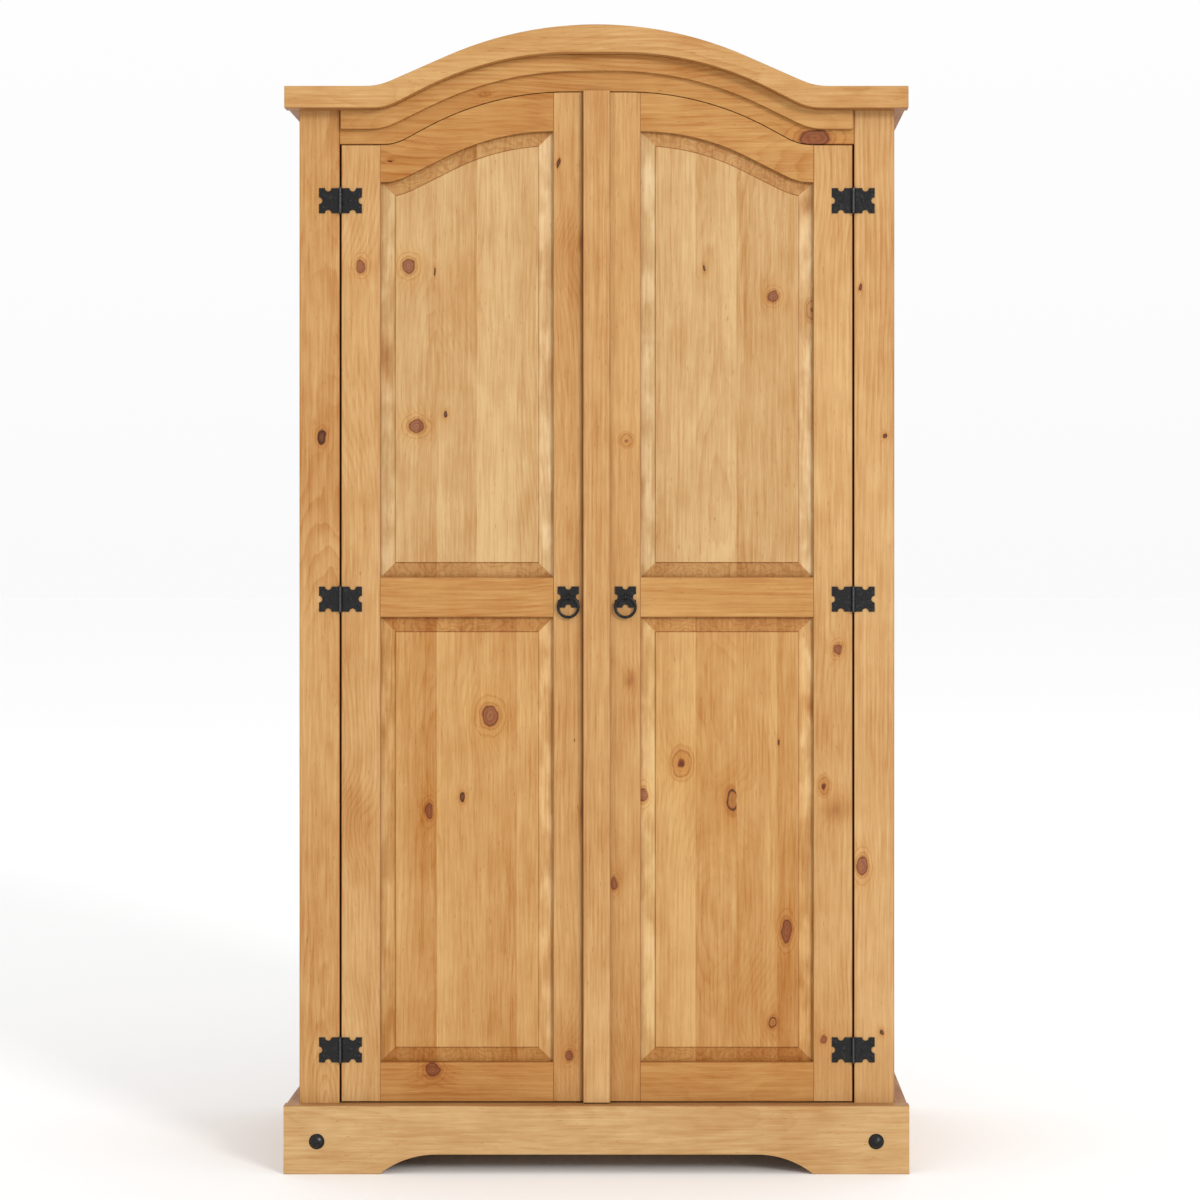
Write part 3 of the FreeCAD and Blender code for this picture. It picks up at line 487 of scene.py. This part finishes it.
def border_marks(n, board, colour, noisy, end, front):
    """A raised panel's sloping borders: curled end grain, a painted sheen in pale streaks on the slopes that face
    sideways, and painted shade in the quirk, where stain also gathers.

    front is how far along Y the raised field's face stands.
    """
    contour = n.math("MULTIPLY", n.noise(noisy, CURL), CURL_LINES)
    curl = n.math("MULTIPLY", n.curve(n.math("FRACT", contour), *CURL_LINE), end)
    colour = n.stain(colour, curl, CURL_TINT)

    # Painted sheen: the slopes that face sideways are lightened in whitish streaks.
    width_axis = "xyz".index(board.axes[0])
    sideways = n.math("ABSOLUTE", n.add("SeparateXYZ", n.normal).outputs[width_axis])
    cloud = n.span(n.noise(noisy, CLOUD), -0.12, 0.14)
    colour = n.stain(colour, n.span(sideways, *TURNED), n.mix(cloud, *SHEEN_TINTS))

    # Painted shade on the step face behind the raised field, where stain also gathers.
    depth = n.math("SUBTRACT", n.add("SeparateXYZ", n.place).outputs[1], front)
    behind = n.span(depth, 0.1 * FIELD_STEP, 0.2 * FIELD_STEP)
    above = n.span(depth, FIELD_STEP + 0.2 * MM, FIELD_STEP + 0.45 * MM, 0.85, 0.0)
    return n.stain(colour, n.math("MULTIPLY", behind, above), QUIRK_SHADE_TINT)


def edge_shade_and_wear(n, colour, noisy, sideways, half_width):
    """Painted shade and wear, uneven, along a board's long edges, and a thin dark line of painted shade and dirt
    at the very brink.
    """
    across = n.math("ABSOLUTE", sideways)
    # Painted shade and wear along the long edges, made uneven.
    rim = n.span(across, half_width - RIM[0], half_width - RIM[1])
    uneven = n.span(n.noise(noisy, RIM_SPOTS), -0.1, 0.2, 0.15, 0.75)
    colour = n.stain(colour, n.math("MULTIPLY", rim, uneven), RIM_SHADE_AND_WEAR_TINT)
    # A thin line of painted shade and dirt at the very brink.
    brink = n.span(across, half_width - BRINK[0], half_width - BRINK[1], 0.0, 0.65)
    return n.stain(colour, brink, BRINK_SHADE_AND_DIRT_TINT)


def painted_shade_line(n, colour, sideways, line, near, far, amount, tint):
    """Painted shade beside an upright line, full up to near and gone at far."""
    away = n.math("ABSOLUTE", n.math("SUBTRACT", sideways, line))
    return n.stain(colour, n.span(away, near, far, amount, 0.0), tint)


def painted_gap_and_strip_shade(n, board, colour):
    """Painted shade beside the doors' gaps and the meeting strip's painted shadow, on the boards that meet them.
    """
    sideways = n.add("SeparateXYZ", n.place).outputs[0]
    # Painted shade in the narrow gap beside a door.
    if board.gap_edges:
        beside = n.math("ABSOLUTE", sideways)
        colour = painted_shade_line(n, colour, beside, HINGE_X, *GAP_SHADE)
    # The meeting strip's shadow, painted along its edge.
    if board.under_strip:
        strip_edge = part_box("meeting_strip")[0].x
        colour = painted_shade_line(n, colour, sideways, strip_edge, *STRIP_SHADOW)
    return colour


def pine(node_name, board, seed):
    """One board's own pine: year rings, fibre, stain, knots, darker ends, painted sheen and shade on panel
    borders, and painted shade and wear along edges and gaps.
    """
    low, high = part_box(node_name)
    middle = (low + high) / 2
    width_axis = "xyz".index(board.axes[0])
    half_width = (high[width_axis] - low[width_axis]) / 2
    n = Nodes(node_name)
    point, noisy = board_point(n, board.axes, middle, seed)
    joints = [joint - middle[width_axis] for joint in board.joints]
    sideways = n.add("SeparateXYZ", point).outputs[0]
    stave = stave_number(n, sideways, joints)
    if joints:
        noisy = slide_staves(n, noisy, stave)

    wavy = n.vector("MULTIPLY_ADD", n.noise(noisy, WAVER), KNOT_WAVER, point)
    tint, swelling = knot_parts(n, board, middle, wavy)
    rings = ring_field(n, board, point, noisy, stave, swelling)
    late = n.curve(n.math("FRACT", rings), *LATE_WOOD)
    patchy = n.span(n.noise(noisy, PATCHES), -0.14, 0.16, 0.25, 1.0)
    fibre = n.noise(noisy, FIBRE)
    blotch = n.noise(noisy, BLOTCH)
    darkness = n.total(
        PLAIN_DARKNESS,
        stave_shade(n, board, stave, sideways, joints),
        n.math("MULTIPLY", n.math("MULTIPLY", late, patchy), RINGS_SHOW * board.contrast),
        n.math("MULTIPLY", fibre, FIBRE_SHOWS),
        n.math("MULTIPLY", n.noise(noisy, STREAK), STREAK_SHOWS * board.contrast),
        n.math("MULTIPLY", blotch, BLOTCH_SHOWS),
        n.math("MULTIPLY", n.noise(noisy, BROAD), BROAD_SHOWS),
    )
    pale = screen(*lighter(board.tone, PALE_STEP))
    dark = screen(*lighter(board.tone, DARK_STEP))
    colour = n.mix(1.0, n.mix(darkness, pale, dark), tint, "MULTIPLY")

    facing_along = n.add("SeparateXYZ", n.normal).outputs["xyz".index(board.axes[2])]
    end = n.span(n.math("ABSOLUTE", facing_along), *TURNED)
    colour = n.stain(colour, end, END_TINT)
    if joints:
        colour = border_marks(n, board, colour, noisy, end, low.y)
    colour = n.stain(colour, n.span(n.noise(noisy, FLECK), 0.21, 0.28, 0.0, 0.6), FLECK_TINT)
    colour = edge_shade_and_wear(n, colour, noisy, sideways, half_width)
    colour = painted_gap_and_strip_shade(n, board, colour)

    roughness = n.total(0.50, n.math("MULTIPLY", blotch, 0.22), n.math("MULTIPLY", late, -0.05))
    height = n.total(n.math("MULTIPLY", fibre, 1.2), n.math("MULTIPLY", late, 0.35))
    return n.finish(colour, roughness, height, 0.25 * MM, Specular_IOR_Level=0.22)


# ---------------------------------------------------------------------------------------------
# Metal and plastic
# ---------------------------------------------------------------------------------------------

HAMMER = Noise((210.0, 210.0, 210.0), 1.5)
GRIT = Noise((1500.0, 1500.0, 1500.0))
TARNISH = Noise((30.0, 30.0, 30.0))
SPARK = Noise((2200.0, 2200.0, 2200.0))
FLOW = Noise((70.0, 70.0, 70.0))
SCRATCH_WAVES = 900.0      # across the marks of drawn steel
SCRATCH_LENGTHS = 14.0     # and along them


def black_iron(name, crest=None):
    """Black lacquered iron with shallow hammer marks, rubbed on its high spots, with a painted highlight along any
    crest.

    A crest is how far along Y the front of a hinge's barrel stands, where a highlight line is painted.
    """
    n = Nodes(name)
    hammer = n.noise(n.place, HAMMER)
    grit = n.noise(n.place, GRIT)
    rub = n.span(n.total(hammer, n.math("MULTIPLY", grit, 0.4)), 0.06, 0.25)
    colour = n.mix(rub, screen(*IRON_BLACK), screen(*IRON_RUBBED))
    # A painted highlight along the front of a hinge's barrel.
    if crest is not None:
        depth = n.add("SeparateXYZ", n.place).outputs[1]
        painted_highlight = n.span(depth, crest + 0.04 * MM, crest + 0.18 * MM, 0.7, 0.0)
        colour = n.mix(painted_highlight, colour, screen(*IRON_CREST_HIGHLIGHT))
    roughness = n.total(0.30, n.math("MULTIPLY", hammer, 0.3), n.math("MULTIPLY", grit, 0.15))
    height = n.total(hammer, n.math("MULTIPLY", grit, 0.12))
    return n.finish(colour, roughness, height, 0.9 * MM, Specular_IOR_Level=0.32)


def bright_metal(name, tone, along, scratches):
    """Plated steel with fine marks drawn along one axis, a number from 0 for X to 2 for Z."""
    n = Nodes(name)
    waves = [SCRATCH_WAVES, SCRATCH_WAVES, SCRATCH_WAVES]
    waves[along] = SCRATCH_LENGTHS
    drawn = n.noise(n.place, Noise(tuple(waves)))
    tarnish = n.noise(n.place, TARNISH)
    dull = screen(*lighter(tone, STEEL_STEP))
    colour = n.mix(n.span(tarnish, -0.2, 0.2), screen(*tone), dull)
    roughness = n.total(0.26, n.math("MULTIPLY", drawn, scratches), n.math("MULTIPLY", tarnish, 0.15))
    return n.finish(colour, roughness, drawn, 0.05 * MM, Metallic=1.0)


def catch_plastic():
    """Moulded brown plastic with a fine spark texture."""
    n = Nodes("catch_plastic")
    spark = n.noise(n.place, SPARK)
    flow = n.noise(n.place, FLOW)
    colour = n.mix(n.span(flow, -0.2, 0.2), screen(*PLASTIC_LIGHT), screen(*PLASTIC_DARK))
    roughness = n.total(0.5, n.math("MULTIPLY", spark, 0.2))
    return n.finish(colour, roughness, spark, 0.08 * MM)


# ---------------------------------------------------------------------------------------------
# Which board is cut from what
# ---------------------------------------------------------------------------------------------

RAIL = "zyx"          # grain along X on a face that looks forward
STILE = "xyz"         # grain up
SIDE_STILE = "yxz"    # grain up on a face that looks sideways
SIDE_RAIL = "zxy"     # grain front to back on a face that looks sideways
FLAT = "yzx"          # grain along X on a level board

# Where the panels' staves meet, along X in the doors and along Y in the sides.
LEFT_JOINTS = (-0.2622, -0.1967, -0.1313)
RIGHT_JOINTS = (0.1613, 0.2284, 0.2938)
SIDE_JOINTS = (-0.105, -0.012, 0.082)

BOARDS = {
    "left_face_stile": Board(STILE, GOLD, (0.01, 0.05), 0.07, 0.9, (
        Knot(-0.450, 1.200, 0.013, 0.022, "dark"),
    ), gap_edges=True),
    "right_face_stile": Board(STILE, HONEY, (0.11, 0.05), 0.02, 0.8, (
        Knot(0.434, 0.499, 0.017, 0.030),
        Knot(0.466, 0.226, 0.007, 0.009, "dark"),
        Knot(0.471, 1.202, 0.006, 0.007, "dark"),
        Knot(0.431, 1.445, 0.004, 0.010, "dark"),
    ), gap_edges=True),
    "left_door_outer_stile": Board(STILE, HONEY, (-0.10, 0.06), 0.02, 0.7, (
        Knot(-0.386, 1.480, 0.016, 0.021),
        Knot(-0.408, 0.580, 0.024, 0.044, "haze"),
        Knot(-0.380, 0.545, 0.022, 0.050, "haze"),
    ), gap_edges=True),
    "right_door_outer_stile": Board(STILE, HONEY, (0.09, 0.07), 0.03, 0.8, (
        Knot(0.394, 0.853, 0.013, 0.018),
        Knot(0.371, 0.629, 0.018, 0.028, "ring"),
        Knot(0.371, 0.629, 0.006, 0.010),
        Knot(0.372, 0.216, 0.010, 0.012),
        Knot(0.375, 0.180, 0.040, 0.080, "haze"),
        Knot(0.390, 0.590, 0.022, 0.024, "stain"),
    ), gap_edges=True),
    "left_door_inner_stile": Board(STILE, GOLD, (-0.14, 0.03), 0.02, 0.6, (
        Knot(-0.045, 0.189, 0.012, 0.018),
        Knot(-0.050, 0.190, 0.040, 0.050, "haze"),
        Knot(-0.063, 1.648, 0.003, 0.011, "dark"),
        Knot(-0.026, 1.518, 0.005, 0.018, "stain"),
        Knot(-0.050, 1.495, 0.036, 0.050, "haze"),
        Knot(-0.025, 0.590, 0.006, 0.034, "stain"),
        Knot(-0.036, 0.705, 0.002, 0.003, "dark"),
    ), under_strip=True),
    "right_door_inner_stile": Board(STILE, GOLD, (0.13, 0.03), 0.01, 0.7, (
        Knot(0.049, 1.195, 0.020, 0.022, "ring"),
        Knot(0.029, 0.471, 0.010, 0.021),
        Knot(0.045, 0.130, 0.040, 0.070, "haze"),
        Knot(0.055, 0.802, 0.012, 0.018, "stain"),
    )),
    "meeting_strip": Board(STILE, HONEY, (0.16, 0.04), 0.02, 0.7),
    "left_door_upper_panel": Board(STILE, PALE, (-0.03, 0.05), 0.05, 0.65, (
        Knot(-0.308, 1.480, 0.020, 0.023),
        Knot(-0.295, 1.218, 0.024, 0.020),
        Knot(-0.247, 1.238, 0.006, 0.009, "dark"),
        Knot(-0.265, 1.471, 0.003, 0.012, "dark"),
        Knot(-0.345, 1.335, 0.010, 0.036, "stain"),
        Knot(-0.225, 1.440, 0.034, 0.060, "haze"),
    ), LEFT_JOINTS, (0.04, 0.06, -0.12, 0.06), 0.14),
    "left_door_lower_panel": Board(STILE, STRAW, (-0.04, 0.05), 0.04, 0.6, (
        Knot(-0.175, 0.744, 0.026, 0.034),
        Knot(-0.275, 0.587, 0.013, 0.026),
        Knot(-0.221, 0.610, 0.009, 0.014, "dark"),
    ), LEFT_JOINTS, (0.20, -0.08, 0.13, 0.03), 0.26),
    "right_door_upper_panel": Board(STILE, PALE, (0.04, 0.05), 0.04, 0.6, (
        Knot(0.289, 1.431, 0.016, 0.018),
        Knot(0.176, 1.477, 0.004, 0.011, "dark"),
        Knot(0.351, 1.408, 0.018, 0.030, "ring"),
        Knot(0.344, 1.579, 0.010, 0.020, "stain"),
    ), RIGHT_JOINTS, (0.02, -0.10, 0.14, 0.10), -0.16),
    "right_door_lower_panel": Board(STILE, STRAW, (0.03, 0.05), 0.03, 0.55, (
        Knot(0.139, 0.666, 0.030, 0.044, "ring"),
        Knot(0.139, 0.668, 0.009, 0.014),
        Knot(0.2215, 0.606, 0.020, 0.036, "loop", 0.2284),
        Knot(0.212, 0.585, 0.050, 0.060, "haze", 0.2284),
        Knot(0.262, 0.250, 0.050, 0.070, "haze"),
        Knot(0.310, 0.392, 0.016, 0.036),
        Knot(0.288, 0.243, 0.012, 0.018, "loop"),
        Knot(0.076, 0.615, 0.013, 0.023),
        Knot(0.297, 0.700, 0.003, 0.009, "dark"),
        Knot(0.348, 0.760, 0.009, 0.018, "stain"),
    ), RIGHT_JOINTS, (-0.16, 0.17, 0.08, 0.22), -0.24),
    "left_door_mid_rail": Board(RAIL, AMBER, (-0.10, 0.05), 0.02, 0.7),
    "right_door_mid_rail": Board(RAIL, AMBER, (0.09, 0.05), 0.02, 0.7),
    "left_door_bottom_rail": Board(RAIL, TAN, (0.10, 0.05), 0.03, 0.65, (
        Knot(-0.270, 0.165, 0.024, 0.022),
    )),
    "right_door_bottom_rail": Board(RAIL, TAN, (-0.02, 0.06), 0.06, 0.7),
    "left_door_arched_rail": Board(RAIL, TAN, (-0.08, 0.06), 0.05, 1.0, (
        Knot(-0.337, 1.652, 0.007, 0.003, "dark"),
    )),
    "right_door_arched_rail": Board(RAIL, AMBER, (-0.05, 0.06), -0.05, 1.0),
    "cornice_front": Board(RAIL, GOLD, (-0.05, 0.07), 0.03, 0.9),
    "header_moulding": Board(RAIL, AMBER, (-0.06, 0.07), 0.03, 0.8),
    "header_rail": Board(RAIL, TAN, (-0.10, 0.06), 0.02, 0.8, (
        Knot(0.356, 1.689, 0.050, 0.026),
        Knot(-0.184, 1.761, 0.014, 0.008, "ring"),
    )),
    "plinth_front": Board(RAIL, PALE, (0.02, 0.07), 0.05, 0.45),
}

BOTH_SIDES = {
    "cornice_side": Board(SIDE_RAIL, HONEY, (0.05, 0.06), 0.03, 0.9),
    "plinth_side": Board(SIDE_RAIL, HONEY, (0.04, 0.06), 0.04, 0.9),
    "side_front_stile": Board(SIDE_STILE, HONEY, (0.10, 0.06), 0.03, 1.0),
    "side_rear_stile": Board(SIDE_STILE, AMBER, (-0.09, 0.06), 0.03, 1.0),
    "side_rails": Board(SIDE_RAIL, AMBER, (0.08, 0.06), 0.03, 0.9),
    "side_upper_panel": Board(SIDE_STILE, PALE, (0.03, 0.05), 0.05, 1.0, (
        Knot(-0.060, 1.310, 0.017, 0.022),
        Knot(0.095, 1.560, 0.008, 0.012, "dark"),
    ), SIDE_JOINTS, (0.02, 0.12, -0.10, 0.05)),
    "side_lower_panel": Board(SIDE_STILE, HONEY, (0.02, 0.05), 0.04, 0.9, (
        Knot(0.060, 0.520, 0.019, 0.027),
        Knot(-0.090, 0.300, 0.012, 0.018, "ring"),
    ), SIDE_JOINTS, (0.12, -0.04, 0.08, 0.16)),
    "back_panel": Board(STILE, BACK, (0.05, 0.12), 0.10, 0.7),
}

INNER_BOARDS = {
    "top_panel": Board(FLAT, INSIDE, (0.03, 0.10), 0.05, 0.8),
    "shelf": Board(FLAT, INSIDE, (0.05, 0.10), 0.06, 0.8),
    "floor_panel": Board(FLAT, INSIDE, (-0.05, 0.10), 0.06, 0.8),
    "shelf_cleats": Board(SIDE_RAIL, INSIDE),
    "floor_cleats": Board(SIDE_RAIL, INSIDE),
    "back_joint_strip": Board(STILE, INSIDE),
}


def all_boards():
    """Every wooden node with its board; the right side's go without the first of the left's knots."""
    boards = dict(BOARDS)
    boards.update(INNER_BOARDS)
    for name, board in BOTH_SIDES.items():
        boards["left_" + name] = board
        boards["right_" + name] = board._replace(knots=board.knots[1:])
    return boards


# ---------------------------------------------------------------------------------------------
# Putting it together
# ---------------------------------------------------------------------------------------------

def ease_edges(node, width, sharpest):
    """Rounds the arrises of a CAD node and evens out its shading, with modifiers only."""
    weld = node.modifiers.new("weld", "WELD")
    weld.merge_threshold = WELD_REACH
    flat = node.modifiers.new("flat", "DECIMATE")
    flat.decimate_type = "DISSOLVE"
    flat.angle_limit = FLAT_ANGLE
    bevel = node.modifiers.new("arris", "BEVEL")
    bevel.width = width
    bevel.segments = 2
    bevel.limit_method = "ANGLE"
    bevel.angle_limit = sharpest
    bevel.harden_normals = False
    bevel.use_clamp_overlap = True
    node.modifiers.new("shading", "WEIGHTED_NORMAL")


def set_material(node, material):
    for slot in node.material_slots:
        slot.material = material


def finish_wood():
    """Each board gets its own pine and eased arrises; the cleats under the floor stay square."""
    for seed, (name, board) in enumerate(sorted(all_boards().items())):
        node = NODES[name]
        set_material(node, pine(name, board, seed))
        if board.joints and "door" in name:
            ease_edges(node, *PANEL_ARRIS)
        elif name != "floor_cleats":
            ease_edges(node, *BOARD_ARRIS)


def cross_prism(mesh, centre, turn):
    """Adds a cross-shaped prism, the hollow that a driver fits, at a screw's head."""
    half_arm = RECESS_ARM / 2
    half_slot = RECESS_SLOT / 2
    corners = []
    for quarter in range(4):
        spin = Matrix.Rotation(turn + quarter * math.pi / 2, 3, "Y")
        for x, z in ((half_slot, half_slot), (half_arm, half_slot), (half_arm, -half_slot)):
            corners.append(spin @ Vector((x, 0.0, z)))
    front_middle = centre - Vector((0.0, RECESS_DEPTH, 0.0))
    floor_middle = centre + Vector((0.0, RECESS_DEPTH, 0.0))
    front = [mesh.verts.new(front_middle + corner) for corner in corners]
    floor = [mesh.verts.new(floor_middle + corner * RECESS_TAPER) for corner in corners]
    mesh.faces.new(front)
    mesh.faces.new(floor[::-1])
    for index in range(len(front)):
        after = (index + 1) % len(front)
        mesh.faces.new((front[index], floor[index], floor[after], front[after]))


def hinge_heights():
    """The middles of the three hinges on one side, from the lowest up."""
    low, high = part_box("hinge_case_leaves")
    return low.z + LEAF_HEIGHT / 2, HINGE_MIDDLE, high.z - LEAF_HEIGHT / 2


def screw_tops(hinge_x, outward):
    """The tops of the nine screw heads in the leaves beside a hinge line; outward is 1 for +X."""
    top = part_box("hinge_case_screws")[0].y
    pattern = ((SCREW_FAR, SCREW_SPREAD), (SCREW_FAR, -SCREW_SPREAD), (SCREW_NEAR, 0.0))
    return [
        Vector((hinge_x + outward * reach, top, height + rise))
        for height in hinge_heights()
        for reach, rise in pattern
    ]


def cut_recesses(node_name, body, tops):
    """Cuts a driver recess into every screw head of a node, each turned as it was left."""
    mesh = bmesh.new()
    for top in tops:
        cross_prism(mesh, top, random.uniform(0.0, math.pi / 2))
    bmesh.ops.recalc_face_normals(mesh, faces=mesh.faces)
    data = bpy.data.meshes.new(node_name + "_recesses")
    mesh.to_mesh(data)
    mesh.free()
    cutter = bpy.data.objects.new(node_name + "_recesses", data)
    bpy.context.scene.collection.objects.link(cutter)
    cutter.hide_render = True
    cutter.display_type = "WIRE"
    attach(cutter, body)
    node = NODES[node_name]
    weld = node.modifiers.new("weld", "WELD")
    weld.merge_threshold = WELD_REACH
    recess = node.modifiers.new("recess", "BOOLEAN")
    recess.operation = "DIFFERENCE"
    recess.solver = "EXACT"
    recess.object = cutter
    crease = node.modifiers.new("crease", "EDGE_SPLIT")
    crease.split_angle = CREASE_ANGLE


def finish_screws():
    """Cross recesses in all the hinge screws."""
    random.seed(7)
    cut_recesses("hinge_case_screws", "case", screw_tops(HINGE_X, 1) + screw_tops(-HINGE_X, -1))
    cut_recesses("left_hinge_door_screws", "left_door", screw_tops(-HINGE_X, 1))
    cut_recesses("right_hinge_door_screws", "right_door", screw_tops(HINGE_X, -1))


def finish_hardware():
    """Iron, steel and plastic for everything that isn't wood."""
    finishes = {
        "black_iron": black_iron("black_iron"),
        "bright_steel": bright_metal("bright_steel", BRIGHT_STEEL, along=0, scratches=0.12),
        "catch_steel": bright_metal("catch_steel", CATCH_STEEL, along=2, scratches=0.25),
        "catch_plastic": catch_plastic(),
    }
    # The hinges' iron, with a painted highlight along the barrels' crest.
    hinge_iron = black_iron("hinge_iron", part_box("hinge_case_leaves")[0].y)
    for name, node in NODES.items():
        finish = finishes.get(SLOT_OF[name])
        if "hinge" in name:
            finish = hinge_iron
        if finish:
            set_material(node, finish)


def add_floor():
    """A plain pale floor, which isn't part of the object."""
    half = 60.0
    corners = [(-half, -half, 0.0), (half, -half, 0.0), (half, half, 0.0), (-half, half, 0.0)]
    mesh = bpy.data.meshes.new("floor")
    mesh.from_pydata(corners, [], [(0, 1, 2, 3)])
    floor = bpy.data.objects.new("floor", mesh)
    bpy.context.scene.collection.objects.link(floor)
    material = bpy.data.materials.new("floor")
    material.use_nodes = True
    shader = material.node_tree.nodes["Principled BSDF"]
    shader.inputs["Base Color"].default_value = (0.90, 0.90, 0.90, 1.0)
    shader.inputs["Roughness"].default_value = 0.9
    shader.inputs["Specular IOR Level"].default_value = 0.1
    mesh.materials.append(material)


def add_softbox(name, place, size, power):
    """A square area light aimed at the wardrobe's middle."""
    light = bpy.data.lights.new(name, "AREA")
    light.energy = power
    light.size = size
    lamp = bpy.data.objects.new(name, light)
    lamp.location = place
    target = Vector((0.0, 0.0, 1.0))
    lamp.rotation_euler = (target - lamp.location).to_track_quat("-Z", "Y").to_euler()
    bpy.context.scene.collection.objects.link(lamp)


def add_light():
    """Soft daylight from all round, and one large key from the front and right."""
    world = bpy.data.worlds.new("studio")
    world.use_nodes = True
    tree = world.node_tree
    direction = tree.nodes.new("ShaderNodeTexCoord")
    split = tree.nodes.new("ShaderNodeSeparateXYZ")
    tree.links.new(direction.outputs["Generated"], split.inputs[0])
    brightness = tree.nodes.new("ShaderNodeMapRange")
    brightness.inputs["To Min"].default_value = 0.96
    brightness.inputs["To Max"].default_value = 1.12
    tree.links.new(split.outputs["Z"], brightness.inputs["Value"])
    background = tree.nodes["Background"]
    background.inputs["Color"].default_value = (1.0, 1.0, 1.0, 1.0)
    tree.links.new(brightness.outputs["Result"], background.inputs["Strength"])
    bpy.context.scene.world = world
    add_softbox("key", place=(9.0, -13.2, 7.0), size=3.4, power=1250.0)


def add_camera():
    """Level camera in front, a little right of the middle and at half height."""
    data = bpy.data.cameras.new("camera")
    data.lens = 83.0
    data.sensor_width = 36.0
    data.shift_x = -0.0708
    data.shift_y = -0.0383
    camera = bpy.data.objects.new("camera", data)
    camera.location = (0.144, -4.773, 1.0088)
    camera.rotation_euler = Vector((0.0, 1.0, 0.0)).to_track_quat("-Z", "Y").to_euler()
    bpy.context.scene.collection.objects.link(camera)
    bpy.context.scene.camera = camera


finish_wood()
finish_hardware()
finish_screws()
add_floor()
add_light()
add_camera()
bpy.context.scene.view_settings.view_transform = "Standard"
